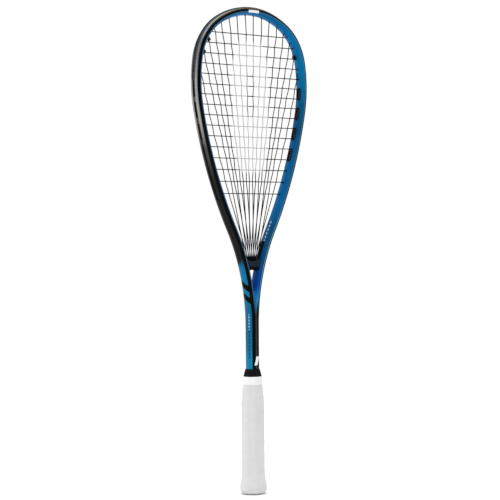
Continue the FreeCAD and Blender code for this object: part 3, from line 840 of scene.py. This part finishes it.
# Levels are of height and the sizes along X and Y
CORNER_SHARE = 0.3
CAP_LEVELS = [(0.0, 28.4, 24.4), (0.25, 29.4, 25.4), (1.2, 32.6, 28.6), (2.2, 34.2, 29.8), (3.0, 35.2, 30.8)]
GRIP_LEVELS = [(3.0, 36.2, 31.8), (3.4, 37.3, 32.9), (6.0, 38.2, 33.8), (9.5, 38.6, 34.2), (14.0, 37.8, 33.6),
               (18.0, 36.2, 32.1), (22.5, 34.4, 30.4), (29.5, 33.0, 29.0), (128.0, 32.7, 28.7),
               (154.0, 28.3, 25.1)]
TAPE_LEVELS = [(153.6, 28.0, 25.0), (154.0, 28.6, 25.6), (165.0, 26.6, 24.0)]
GRIP_EDGE_R = 4.5
CAP_EDGE_R = 3.2
CAP_PANEL = ((-0.8, 1.1), (-0.62, 1.1), (-0.58, 0.25), (-0.53, 0.0), (-0.08, 0.0))
CAP_STEM = ((3.6, 34.0, 30.0), (12.0, 34.0, 30.0))
WRAP_PITCH = 21.0
WRAP_STEP = 0.24
WRAP_START = 0.31


def octagon(size_x, size_y, edge_r, corner_steps=4, side_steps=5):
    """Ring of points round an eight-sided section with soft edges."""
    a, b = size_x / 2, size_y / 2
    c = CORNER_SHARE * size_y
    quarter = [(a, c - b), (a, b - c), (a - c, b)]
    corners = quarter + [(-x, y) for x, y in quarter[::-1]] + [(c - a, -b), (a - c, -b)]
    ring = []
    ends = []
    count = len(corners)
    for i in range(count):
        corner = Vector(corners[i])
        behind = Vector(corners[i - 1]) - corner
        ahead = Vector(corners[(i + 1) % count]) - corner
        room = min(behind.length, ahead.length)
        half_turn = (pi - behind.angle(ahead)) / 2
        cut = min(edge_r * tan(half_turn), BEND_SHARE * room)
        start, end = corner + behind.normalized() * cut, corner + ahead.normalized() * cut
        arc = []
        for j in range(corner_steps + 1):
            t = j / corner_steps
            arc.append(start * (1 - t) ** 2 + corner * 2 * t * (1 - t) + end * t * t)
        ends.append(arc)
    for i in range(count):
        ring += ends[i]
        last, following = ends[i][-1], ends[(i + 1) % count][0]
        ring += [last.lerp(following, j / side_steps) for j in range(1, side_steps)]
    return ring


def level_sizes(levels, z):
    """Sizes along X and Y between the levels."""
    heights = [level[0] for level in levels]
    return (np.interp(z, heights, [level[1] for level in levels]),
            np.interp(z, heights, [level[2] for level in levels]))


def shell_rows(levels, heights, edge_r, swell):
    """Rings up a handle part; swell gives the extra radius at an angle and height."""
    rows = []
    for z in heights:
        ring = []
        for point in octagon(*level_sizes(levels, z), edge_r):
            extra = swell(atan2(point.y, point.x), z)
            point = point * (1 + extra / point.length)
            ring.append((point.x, point.y, z))
        rows.append(ring)
    return rows


def wrap_phase(angle, z):
    return (z / WRAP_PITCH - angle / (2 * pi) + WRAP_START) % 1.0


def wrap_swell(angle, z):
    """Overlap of the wound strip: it thickens towards its lap and drops at the edge."""
    phase = wrap_phase(angle, z)
    lap = ramp_up(phase, 0.62, 0.1)
    drop = min(1.0, (1.0 - phase) / 0.035)
    ripple = 0.05 * sin(5 * angle + 0.21 * z) + 0.04 * sin(2 * angle - 0.37 * z)
    return (WRAP_STEP * lap * lap * (3 - 2 * lap) * drop + ripple) * ramp_up(z, 6.0, 14.0)


def sleeve(name, rows, share):
    """Tube between an outside and a plain inside at a share of its size."""
    inside = [[(x * share, y * share, z) for x, y, z in row] for row in (rows[-1], rows[0])]
    return solid(name, rows + inside, looped=True)


def grip_piece():
    heights = list(np.arange(3.0, 6.0, 0.4)) + list(np.arange(6.0, 154.0, 0.55)) + [154.0]
    made = sleeve("wound_grip", shell_rows(GRIP_LEVELS, heights, GRIP_EDGE_R, wrap_swell), 0.93)
    phases = np.array([wrap_phase(atan2(y, x), z) for x, y, z in (vertex.co for vertex in made.data.vertices)])
    store(made.data, "lap", np.minimum(phases, 1 - phases) * 2)
    return made


def tape_swell(angle, z):
    """Step at the tape's end and two grooves pressed round it."""
    lap = 0.12 if -1.2 < angle < -0.4 else 0.0
    groove = -0.14 if min(abs(z - 157.6), abs(z - 161.3)) < 0.35 else 0.0
    return lap + groove


def tape_piece():
    heights = [153.6, 153.8, 154.0] + list(np.arange(154.5, 164.6, 0.33)) + [164.9, 165.0]
    return sleeve("white_band", shell_rows(TAPE_LEVELS, heights, GRIP_EDGE_R, tape_swell), 0.9)


def cap_piece():
    """Butt cap: rounded foot with a sunk octagonal panel."""
    _, foot_x, foot_y = CAP_LEVELS[0]
    levels = [(z, foot_x * (1 + growth * 0.6), foot_y * (1 + growth * 0.6), 3.0) for growth, z in CAP_PANEL]
    levels += [(z, x, y, CAP_EDGE_R) for z, x, y in (*CAP_LEVELS[1:], *CAP_STEM)]
    return solid("cap_shell", [[(p.x, p.y, z) for p in octagon(x, y, edge_r)] for z, x, y, edge_r in levels])


def rounded_rectangle(size_x, size_y, radius, z, steps=9):
    """Ring of points at a height."""
    a, b = size_x / 2 - radius, size_y / 2 - radius
    ring = []
    for quarter, (cx, cy) in enumerate(((a, b), (-a, b), (-a, -b), (a, -b))):
        for i in range(steps + 1):
            t = (quarter + i / steps) * pi / 2
            ring.append((cx + radius * cos(t), cy + radius * sin(t), z))
    return ring


def collar_piece():
    """Rubber collar: a flared skirt with a bead at its foot and fine rings."""
    foot, top = 165.3, 175.6
    outside = [(foot, -0.35), (165.45, -0.1), (165.8, 0.0), (167.2, 0.0), (167.45, -0.12), (167.6, -0.3),
               (167.8, -0.3)]
    z = 168.2
    while z < 174.4:
        outside += [(z, -0.12), (z + 0.7, -0.12), (z + 0.85, -0.28), (z + 1.05, -0.28)]
        z += 1.25
    outside += [(174.9, -0.1), (175.35, -0.2), (top, -0.5)]
    rows = []
    for height, inset in outside:
        share = ramp_up(height, 167.3, 8.3)
        x, y = 24.0 - 5.6 * share, 22.4 - 1.9 * share
        rows.append(rounded_rectangle(x + 2 * inset, y + 2 * inset, 9.0 - 1.5 * share, height))
    rows += [rounded_rectangle(17.0, 19.1, 7.2, height) for height in (top, foot)]
    return solid("collar_rubber", rows, looped=True)


pieces = {}


def place(made, body, slot, node, crease=35):
    """Finish a piece: shading, metres, body, material slot and the CAD node it stands for."""
    if crease:
        smooth(made, crease)
    made.data.transform(Matrix.Scale(MM, 4))
    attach(made, body)
    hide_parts(node)
    pieces.setdefault(slot, []).append(made)


place(frame_piece(), "racket", "frame_paint", "frame", 0)
place(head_guard_piece(), "racket", "guard_plastic", "head_guard")
for side, word in ((-1, "left"), (1, "right")):
    for port in range(PORTS):
        node = "port_insert_%s_%d" % (word, port + 1)
        place(port_piece(port, side, word), "racket", "grommet_plastic", node)
    place(strip_piece(side, word), "racket", "grommet_plastic", "lower_grommet_strip_" + word)
place(throat_block(), "racket", "insert_plastic", "throat_insert", 50)
place(string_piece("mains", main_route(), (2, 15)), "racket", "string", "main_string", 60)
place(string_piece("crosses", cross_route(), (3,)), "racket", "string", "cross_string", 60)
place(cap_piece(), "racket", "cap_plastic", "butt_cap", 40)
place(grip_piece(), "racket", "grip_polyurethane", "grip_tape", 60)
place(tape_piece(), "racket", "white_tape", "finishing_tape", 60)
place(collar_piece(), "collar", "collar_rubber", "collar")


# Materials

class Paint:
    """Node graph of one material, written as plain expressions. Lengths are in millimetres."""

    def __init__(self, name, roughness, specular=0.5):
        self.made = bpy.data.materials.new(name)
        self.made.use_nodes = True
        self.tree = self.made.node_tree
        self.shader = self.tree.nodes["Principled BSDF"]
        self.shader.inputs["Roughness"].default_value = roughness
        self.shader.inputs["Specular IOR Level"].default_value = specular
        coordinates = self.node("ShaderNodeTexCoord").outputs["Object"]
        scaled = self.node("ShaderNodeVectorMath", operation="SCALE")
        self.tree.links.new(coordinates, scaled.inputs[0])
        scaled.inputs["Scale"].default_value = 1 / MM
        self.place = scaled.outputs[0]
        split = self.node("ShaderNodeSeparateXYZ")
        self.tree.links.new(self.place, split.inputs[0])
        self.x, self.y, self.z = split.outputs

    def node(self, kind, **settings):
        made = self.tree.nodes.new(kind)
        for key, value in settings.items():
            setattr(made, key, value)
        return made

    def put(self, socket, value):
        if isinstance(value, bpy.types.NodeSocket):
            self.tree.links.new(value, socket)
        elif isinstance(value, tuple) and len(value) == 3 and len(socket.default_value) == 4:
            socket.default_value = (*value, 1.0)
        else:
            socket.default_value = value

    def set(self, name, value):
        self.put(self.shader.inputs[name], value)

    def attribute(self, name):
        return self.node("ShaderNodeAttribute", attribute_name=name).outputs["Fac"]

    def math(self, operation, first, second=0.0):
        made = self.node("ShaderNodeMath", operation=operation)
        self.put(made.inputs[0], first)
        self.put(made.inputs[1], second)
        return made.outputs[0]

    plus = partialmethod(math, "ADD")
    minus = partialmethod(math, "SUBTRACT")
    times = partialmethod(math, "MULTIPLY")

    def both(self, *shares):
        result = shares[0]
        for share in shares[1:]:
            result = self.times(result, share)
        return result

    either = partialmethod(math, "MAXIMUM")
    size_of = partialmethod(math, "ABSOLUTE")

    def over(self, value, edge, blur=0.3):
        """One above the edge, nought below it, and a soft step between."""
        made = self.node("ShaderNodeMapRange", interpolation_type="SMOOTHSTEP")
        self.put(made.inputs["Value"], self.minus(value, edge))
        made.inputs["From Min"].default_value = -blur / 2
        made.inputs["From Max"].default_value = blur / 2
        return made.outputs["Result"]

    def under(self, value, edge, blur=0.3):
        return self.minus(1.0, self.over(value, edge, blur))

    def between(self, value, low, high, blur=0.3):
        return self.both(self.over(value, low, blur), self.under(value, high, blur))

    def dashes(self, value, pitch, share):
        """One over a share of each pitch."""
        phase = self.math("FRACT", self.times(value, 1 / pitch))
        return self.both(self.over(phase, 0.5 - share / 2, 0.1), self.under(phase, 0.5 + share / 2, 0.1))

    def mix(self, share, first, second):
        made = self.node("ShaderNodeMix", data_type="RGBA")
        self.put(made.inputs["Factor"], share)
        self.put(made.inputs[6], first)
        self.put(made.inputs[7], second)
        return made.outputs[2]

    def ramp(self, value, low, high, stops):
        """Colours at values of a scale from low to high."""
        made = self.node("ShaderNodeValToRGB")
        self.put(made.inputs[0], self.times(self.minus(value, low), 1 / (high - low)))
        points = made.color_ramp.elements
        while len(points) < len(stops):
            points.new(0.5)
        for point, (at_value, colour) in zip(points, stops):
            point.position = (at_value - low) / (high - low)
            point.color = (*colour, 1.0)
        return made.outputs["Color"]

    def noise(self, size, detail=2.0, stretch=(1.0, 1.0, 1.0)):
        """Noise from nought to one with grains of a size, stretched along the axes."""
        mapping = self.node("ShaderNodeMapping")
        self.put(mapping.inputs["Vector"], self.place)
        mapping.inputs["Scale"].default_value = [1 / (size * factor) for factor in stretch]
        made = self.node("ShaderNodeTexNoise")
        self.put(made.inputs["Vector"], mapping.outputs[0])
        made.inputs["Scale"].default_value = 1.0
        made.inputs["Detail"].default_value = detail
        return made.outputs["Fac"]

    def cells(self, size):
        made = self.node("ShaderNodeTexVoronoi")
        self.put(made.inputs["Vector"], self.place)
        made.inputs["Scale"].default_value = 1 / size
        return made.outputs["Distance"]

    def vary(self, colour, share, amount):
        """The colour made darker and lighter by a share that runs from nought to one."""
        scale = self.plus(self.times(share, 2 * amount), 1 - amount)
        made = self.node("ShaderNodeVectorMath", operation="SCALE")
        self.put(made.inputs[0], colour)
        self.put(made.inputs["Scale"], scale)
        return made.outputs[0]

    def bump(self, height, depth, strength=1.0):
        """Relief of a depth in millimetres."""
        made = self.node("ShaderNodeBump")
        made.inputs["Strength"].default_value = strength
        made.inputs["Distance"].default_value = depth * MM
        self.put(made.inputs["Height"], height)
        self.set("Normal", made.outputs[0])


BLACK = (0.0009, 0.001, 0.0012)
CHARCOAL = (0.009, 0.01, 0.01)
# Pale line at the edge of the blue: pinstripe paint with a painted highlight along the crest's edge.
PINSTRIPE_AND_HIGHLIGHT = (0.085, 0.22, 0.34)
# Painted highlight: the pale line made lighter on the right arm low down.
PAINTED_HIGHLIGHT_LINE = (0.16, 0.42, 0.5)
WHITE = (0.88, 0.88, 0.88)
# Silver paint on the outer shoulder; its brightness up the hoop is partly a painted highlight.
SILVER_AND_HIGHLIGHT = [(330.0, CHARCOAL), (440.0, (0.012, 0.013, 0.012)), (484.0, (0.06, 0.063, 0.058)),
          (520.0, (0.26, 0.26, 0.24)), (578.0, (0.34, 0.35, 0.34)), (608.0, (0.2, 0.21, 0.21)),
          (645.0, (0.13, 0.15, 0.18)), (668.0, (0.15, 0.16, 0.14)), (684.0, (0.12, 0.12, 0.1))]
INNER_BLUE = [(250.0, (0.01, 0.2, 0.4)), (272.0, (0.012, 0.21, 0.44)), (292.0, (0.001, 0.045, 0.27)),
              (312.0, (0.001, 0.05, 0.2)), (350.0, (0.003, 0.06, 0.15)), (372.0, (0.003, 0.065, 0.17)),
              (413.0, (0.003, 0.105, 0.29)), (470.0, (0.002, 0.078, 0.2)), (510.0, (0.003, 0.075, 0.205)),
              (550.0, (0.001, 0.105, 0.235)), (580.0, (0.001, 0.12, 0.28)), (612.0, (0.001, 0.135, 0.3)),
              (645.0, (0.001, 0.12, 0.31)), (680.0, (0.001, 0.105, 0.28))]
OUTER_BLUE = [(170.0, (0.006, 0.19, 0.35)), (188.0, (0.006, 0.19, 0.365)), (205.0, (0.006, 0.126, 0.25)),
              (250.0, (0.005, 0.11, 0.235)), (285.0, (0.006, 0.16, 0.3)), (307.0, (0.002, 0.165, 0.35)),
              (318.0, (0.003, 0.15, 0.31)), (326.0, (0.004, 0.07, 0.13))]


def frame_lacquer():
    """Bands that run round the hoop, chevrons on the legs and plain marks, under clear lacquer."""
    p = Paint("frame_lacquer", 0.24, 0.035)
    n, beam = p.attribute("across"), p.attribute("beam")
    depth = p.size_of(beam)
    low = p.under(p.z, 345.0, 10.0)
    # Outer side
    wedge = p.both(low, p.over(p.z, 262.0, 24.0))
    outer_edge = p.minus(p.plus(p.times(low, 0.3), 6.7), p.times(wedge, 0.8))
    outer = p.both(p.under(depth, outer_edge, 0.35), p.over(n, 0.5))
    # Painted highlight across the silver band: lightest in its middle, darker towards both edges.
    painted_shoulder_highlight = p.under(p.size_of(p.minus(depth, 4.6)), 1.3, 2.4)
    bright = p.vary(p.ramp(p.z, 330.0, 690.0, SILVER_AND_HIGHLIGHT), painted_shoulder_highlight, 0.3)
    slant = p.minus(p.z, p.times(beam, 0.7))
    stripes = p.either(p.under(p.size_of(p.minus(slant, 292.8)), 4.6, 0.5),
                       p.under(p.size_of(p.minus(slant, 276.2)), 4.4, 0.5))
    legs = p.mix(stripes, p.ramp(p.z, 165.0, 340.0, OUTER_BLUE), BLACK)
    pointed = p.under(p.plus(p.z, p.times(beam, 0.6)), 325.0, 7.0)
    outer_colour = p.mix(pointed, bright, legs)
    # Inner side
    taper = p.under(p.z, 268.0, 34.0)
    inner_edge = p.minus(-0.95, p.plus(p.times(taper, 1.9), p.times(p.under(p.x, 0.0), 0.45)))
    inner = p.under(n, inner_edge, 0.3)
    streak = p.dashes(p.plus(p.z, p.times(beam, 1.5)), 4.3, 0.45)
    hatched = p.both(streak, p.between(p.z, 508.0, 556.0, 10.0))
    cloud = p.noise(30.0, 3.0, (1.0, 1.0, 3.0))
    inner_colour = p.vary(p.ramp(p.z, 245.0, 690.0, INNER_BLUE), cloud, 0.4)
    inner_colour = p.vary(inner_colour, p.minus(0.62, p.times(hatched, 0.5)), 0.6)
    # Crest, a pale line at the blue's edge that is pinstripe and painted highlight, and a painted highlight in the
    # valley between the legs
    pinstripe_and_highlight = p.both(p.between(n, -0.97, -0.2, 0.3), p.over(p.z, 262.0, 20.0))
    # Painted highlight on the right arm's line between heights 290 and 400.
    painted_arm_highlight = p.both(p.over(p.x, 0.0), p.between(p.z, 290.0, 400.0, 40.0))
    crest = p.mix(pinstripe_and_highlight, BLACK, p.mix(painted_arm_highlight, PINSTRIPE_AND_HIGHLIGHT, PAINTED_HIGHLIGHT_LINE))
    # Painted highlight: dark grey instead of black along the middle of the shaft's front, between the legs.
    painted_valley_highlight = p.both(p.under(p.size_of(p.x), 1.6, 0.8), p.under(p.z, 262.0, 8.0))
    crest = p.mix(painted_valley_highlight, crest, (0.035, 0.035, 0.037))
    colour = p.mix(outer, p.mix(inner, crest, inner_colour), outer_colour)
    # Plain marks
    front = p.under(p.y, 0.0)
    row = p.under(p.size_of(p.plus(p.y, 2.5)), 0.85, 0.3)
    outside = p.over(n, 3.0)
    left = p.under(p.x, 0.0)
    light = p.both(row, outside, left, p.between(p.z, 231.0, 253.0), p.dashes(p.z, 4.4, 0.62))
    colour = p.mix(light, colour, (0.3, 0.55, 0.72))
    dark = p.both(row, outside, left, p.between(p.z, 189.0, 229.0), p.dashes(p.z, 5.0, 0.6))
    colour = p.mix(dark, colour, (0.002, 0.05, 0.11))
    inside = p.both(p.under(n, -3.5), p.over(p.x, 0.0), p.under(p.size_of(p.plus(p.y, 1.5)), 1.0, 0.4))
    grey = p.both(inside, p.between(p.z, 347.0, 384.0), p.dashes(p.z, 5.2, 0.6))
    colour = p.mix(grey, colour, (0.42, 0.47, 0.5))
    lean = p.minus(p.x, p.times(p.minus(p.z, 187.0), 0.31))
    bar = p.both(front, p.between(p.z, 181.0, 193.5), p.between(lean, -2.4, 2.8), p.over(depth, 5.0))
    patch = p.both(front, p.between(n, -2.4, 1.5), p.under(p.size_of(p.x), 9.6), p.over(p.z, 660.0))
    colour = p.mix(p.either(bar, patch), colour, WHITE)
    p.set("Base Color", colour)
    metal = p.both(outer, p.minus(1.0, pointed), p.over(p.z, 470.0, 60.0))
    p.set("Metallic", p.times(metal, 0.55))
    scuffs = p.noise(9.0, 6.0, (1.0, 1.0, 0.25))
    p.set("Roughness", p.plus(p.times(scuffs, 0.16), 0.2))
    p.set("Coat Weight", 0.02)
    p.set("Coat Roughness", 0.06)
    p.bump(p.noise(1.4, 2.0), 0.012)
    return p.made


def moulded_plastic(name, colour, roughness, specular, grain, scuff_colour, scuff_amount):
    """Plastic with a moulded grain and rubbed places."""
    p = Paint(name, roughness, specular)
    worn = p.both(p.over(p.noise(7.0, 5.0, (1.0, 1.0, 0.5)), 0.6, 0.16), p.noise(0.9, 2.0))
    base = p.vary(colour, p.noise(24.0, 3.0), 0.25)
    p.set("Base Color", p.mix(p.times(worn, scuff_amount), base, scuff_colour))
    p.set("Roughness", p.plus(p.times(p.noise(5.0, 4.0), 0.24), roughness - 0.12))
    p.bump(p.plus(p.cells(grain), p.times(worn, 0.6)), 0.03)
    return p.made


def insert_finish():
    """Near-black plastic, with a painted highlight on the fins and darkest along its foot."""
    p = Paint("insert_finish", 0.45, 0.03)
    ridge = p.math("COSINE", p.times(p.x, 2 * pi / COLUMN_PITCH_TOP))
    # Painted highlight on the fin ridges near the top of the block; the same mask also raises the fins in the bump.
    fins = p.both(p.under(ridge, 0.25, 0.5), p.over(p.z, 320.0, 5.0), p.under(p.z, 331.0, 3.0))
    base = p.mix(p.under(p.z, 318.0, 6.0), (0.0022, 0.0045, 0.009), (0.0003, 0.0009, 0.006))
    base = p.vary(base, p.noise(14.0, 3.0), 0.3)
    p.set("Base Color", p.mix(p.times(fins, 0.6), base, (0.035, 0.06, 0.075)))
    p.set("Roughness", p.plus(p.times(p.noise(5.0, 4.0), 0.24), 0.28))
    p.bump(p.plus(p.cells(0.6), p.times(fins, 0.6)), 0.03)
    return p.made


STENCIL = {"top": 636.0, "foot": 452.0, "shoulder": 606.0, "hip": 496.0, "wide": 34.0, "narrow": 21.0,
           "inner_top": 600.0, "inner_foot": 532.0, "inner_half": 6.0}


def string_finish():
    """Black multifilament with a light six-sided ring stencilled on the bed."""
    p = Paint("string_finish", 0.38, 0.04)
    m = STENCIL
    across = p.size_of(p.x)
    top_width = p.plus(p.times(p.minus(m["top"], p.z), (m["wide"] - m["narrow"]) / (m["top"] - m["shoulder"])),
                       m["narrow"])
    foot_width = p.plus(p.times(p.minus(p.z, m["foot"]), (m["wide"] - m["narrow"]) / (m["hip"] - m["foot"])),
                        m["narrow"])
    width = p.math("MINIMUM", p.math("MINIMUM", top_width, foot_width), m["wide"])
    ring = p.both(p.under(across, width, 5.0), p.between(p.z, m["foot"], m["top"], 6.0))
    heart = p.both(p.under(across, m["inner_half"], 4.0), p.between(p.z, m["inner_foot"], m["inner_top"], 6.0))
    ink = p.both(ring, p.minus(1.0, heart))
    ink = p.both(ink, p.plus(p.times(p.noise(1.6, 4.0), 0.5), 0.66))
    base = p.vary((0.0012, 0.0012, 0.0013), p.noise(2.0, 3.0), 0.5)
    p.set("Base Color", p.mix(p.math("MINIMUM", ink, 1.0), base, (0.56, 0.565, 0.57)))
    p.set("Roughness", p.plus(p.times(ink, 0.25), 0.34))
    p.bump(p.noise(0.35, 2.0, (1.0, 1.0, 1.0)), 0.05)
    return p.made


def grip_finish():
    """Soft white polyurethane: pores, faint embossing and a shadow along each lap."""
    p = Paint("grip_finish", 0.62, 0.3)
    lap = p.attribute("lap")
    seam = p.under(lap, 0.07, 0.1)
    cloud = p.noise(16.0, 4.0, (1.0, 1.0, 0.6))
    colour = p.mix(p.times(cloud, 0.8), (0.725, 0.722, 0.722), (0.64, 0.637, 0.636))
    colour = p.mix(p.times(seam, 0.14), colour, (0.5, 0.49, 0.48))
    handled = p.both(p.over(p.noise(22.0, 3.0), 0.56, 0.2), p.between(p.z, 40.0, 130.0, 50.0))
    colour = p.mix(p.times(handled, 0.2), colour, (0.6, 0.59, 0.57))
    p.set("Base Color", colour)
    p.set("Roughness", p.plus(p.times(cloud, 0.2), 0.5))
    p.set("Sheen Weight", 0.15)
    p.set("Sheen Roughness", 0.5)
    pores = p.over(p.cells(0.9), 0.25, 0.3)
    emboss = p.noise(2.6, 4.0)
    p.bump(p.plus(p.times(pores, 0.5), emboss), 0.08)
    return p.made


def tape_finish():
    """Smooth white vinyl with a fine weave pressed through."""
    p = Paint("tape_finish", 0.42, 0.4)
    rows = p.math("SINE", p.times(p.z, 2 * pi / 0.8))
    colour = p.mix(p.times(p.noise(8.0, 3.0), 0.6), (0.9, 0.9, 0.905), (0.82, 0.82, 0.825))
    p.set("Base Color", p.mix(p.times(p.over(rows, 0.6, 0.8), 0.12), colour, (0.6, 0.6, 0.61)))
    p.set("Roughness", p.plus(p.times(p.noise(3.0, 4.0), 0.2), 0.34))
    p.bump(p.plus(p.times(rows, 0.3), p.noise(0.7, 2.0)), 0.03)
    return p.made


def rubber_finish():
    p = Paint("rubber_finish", 0.5, 0.05)
    dust = p.over(p.noise(3.0, 6.0), 0.55, 0.2)
    p.set("Base Color", p.mix(p.times(dust, 0.25), (0.004, 0.004, 0.0045), (0.03, 0.029, 0.028)))
    p.set("Roughness", p.plus(p.times(p.noise(4.0, 4.0), 0.25), 0.38))
    p.bump(p.plus(p.cells(0.5), p.noise(1.1, 3.0)), 0.03)
    return p.made


def foam_finish():
    p = Paint("foam_finish", 0.85, 0.2)
    bubbles = p.over(p.cells(0.8), 0.2, 0.2)
    p.set("Base Color", p.vary((0.35, 0.34, 0.3), p.noise(6.0, 3.0), 0.2))
    p.set("Roughness", p.plus(p.times(bubbles, 0.1), 0.8))
    p.bump(bubbles, 0.15)
    return p.made


def steel_finish():
    p = Paint("steel_finish", 0.32, 0.5)
    p.set("Metallic", 1.0)
    drawn = p.noise(0.3, 3.0, (6.0, 1.0, 1.0))
    p.set("Base Color", p.vary((0.55, 0.55, 0.56), drawn, 0.15))
    p.set("Roughness", p.plus(p.times(drawn, 0.2), 0.22))
    p.bump(drawn, 0.01)
    return p.made


finishes = {
    "frame_paint": frame_lacquer(),
    "guard_plastic": moulded_plastic("guard_finish", (0.04, 0.047, 0.052), 0.42, 0.2, 0.6, (0.16, 0.17, 0.18), 0.35),
    "grommet_plastic": moulded_plastic("grommet_finish", (0.0025, 0.004, 0.008), 0.4, 0.12, 0.5,
                                       (0.05, 0.055, 0.06), 0.2),
    "insert_plastic": insert_finish(),
    "cap_plastic": moulded_plastic("cap_finish", (0.72, 0.72, 0.73), 0.45, 0.4, 0.7, (0.5, 0.49, 0.48), 0.3),
    "string": string_finish(),
    "grip_polyurethane": grip_finish(),
    "white_tape": tape_finish(),
    "collar_rubber": rubber_finish(),
    "pallet_foam": foam_finish(),
    "staple_steel": steel_finish(),
}
pieces["pallet_foam"] = [nodes["handle_pallet"]]
pieces["staple_steel"] = [nodes["butt_cap_staples"], nodes["grip_start_staple"]]
for slot, group in pieces.items():
    for made in group:
        made.data.materials.clear()
        made.data.materials.append(finishes[slot])


# Camera and studio
AZIMUTH, ELEVATION, ROLL = -42.0, 0.4484, -0.4753
DISTANCE = 2.6548
AIM = Vector((-0.0016, 0.00147, 0.3432))
VIEW_ANGLE = 15.1165
SKY_LIGHT = 0.55
FLOOR_GAP = 0.0005
a, e = radians(AZIMUTH), radians(ELEVATION)
back = Vector((sin(a) * cos(e), -cos(a) * cos(e), sin(e)))
camera = add_object("camera", bpy.data.cameras.new("camera"))
turn = back.to_track_quat("Z", "Y").to_matrix() @ Matrix.Rotation(radians(ROLL), 3, "Z")
camera.matrix_world = Matrix.Translation(AIM + back * DISTANCE) @ turn.to_4x4()
camera.data.angle = radians(VIEW_ANGLE)
bpy.context.scene.camera = camera
world = bpy.data.worlds.new("studio")
bpy.context.scene.world = world
world.use_nodes = True
sky = world.node_tree
background = sky.nodes["Background"]
background.inputs["Color"].default_value = (1, 1, 1, 1)
rays = sky.nodes.new("ShaderNodeLightPath")
strength = sky.nodes.new("ShaderNodeMapRange")
strength.inputs["To Min"].default_value = SKY_LIGHT
strength.inputs["To Max"].default_value = 1.0
sky.links.new(rays.outputs["Is Camera Ray"], strength.inputs["Value"])
sky.links.new(strength.outputs["Result"], background.inputs["Strength"])


def softbox(name, place, size, power):
    """Large square light that faces the middle of the racket."""
    lamp = add_object(name, bpy.data.lights.new(name, "AREA"))
    lamp.data.size = size
    lamp.data.energy = power
    lamp.location = place
    lamp.rotation_euler = (Vector(place) - AIM).to_track_quat("Z", "Y").to_euler()


right = Vector((cos(a), sin(a), 0.0))
ahead = Vector((-sin(a), cos(a), 0.0))
softbox("light_left", AIM - right * 1.7 + ahead * 0.5 + Vector((0, 0, 0.3)), 1.6, 6.0)
softbox("light_front", AIM - ahead * 2.2 - right * 0.8 + Vector((0, 0, 1.2)), 1.4, 9.0)
overhead = add_object("light_top", bpy.data.lights.new("light_top", "SUN"))
overhead.data.energy = 2.2
overhead.data.angle = radians(70)


def floor_piece():
    """Plain floor, gently dished up at its rim."""
    rows = []
    for reach, height in ((0.02, 0.0), (1.0, 0.0), (2.5, 0.0), (4.0, 0.002)):
        rows.append([(reach * cos(t), reach * sin(t), height - FLOOR_GAP)
                     for t in np.linspace(0, 2 * pi, 48, endpoint=False)])
    verts = [point for row in rows for point in row]
    faces = loft_faces(len(rows), 48, closed_ends=False) + [tuple(range(48))]
    made = new_object("floor", verts, faces)
    p = Paint("floor_finish", 0.8, 0.1)
    p.set("Base Color", p.vary((0.9, 0.9, 0.9), p.noise(80.0, 3.0), 0.015))
    p.bump(p.noise(2.0, 3.0), 0.02)
    made.data.materials.append(p.made)


floor_piece()
bpy.context.scene.view_settings.view_transform = "Standard"
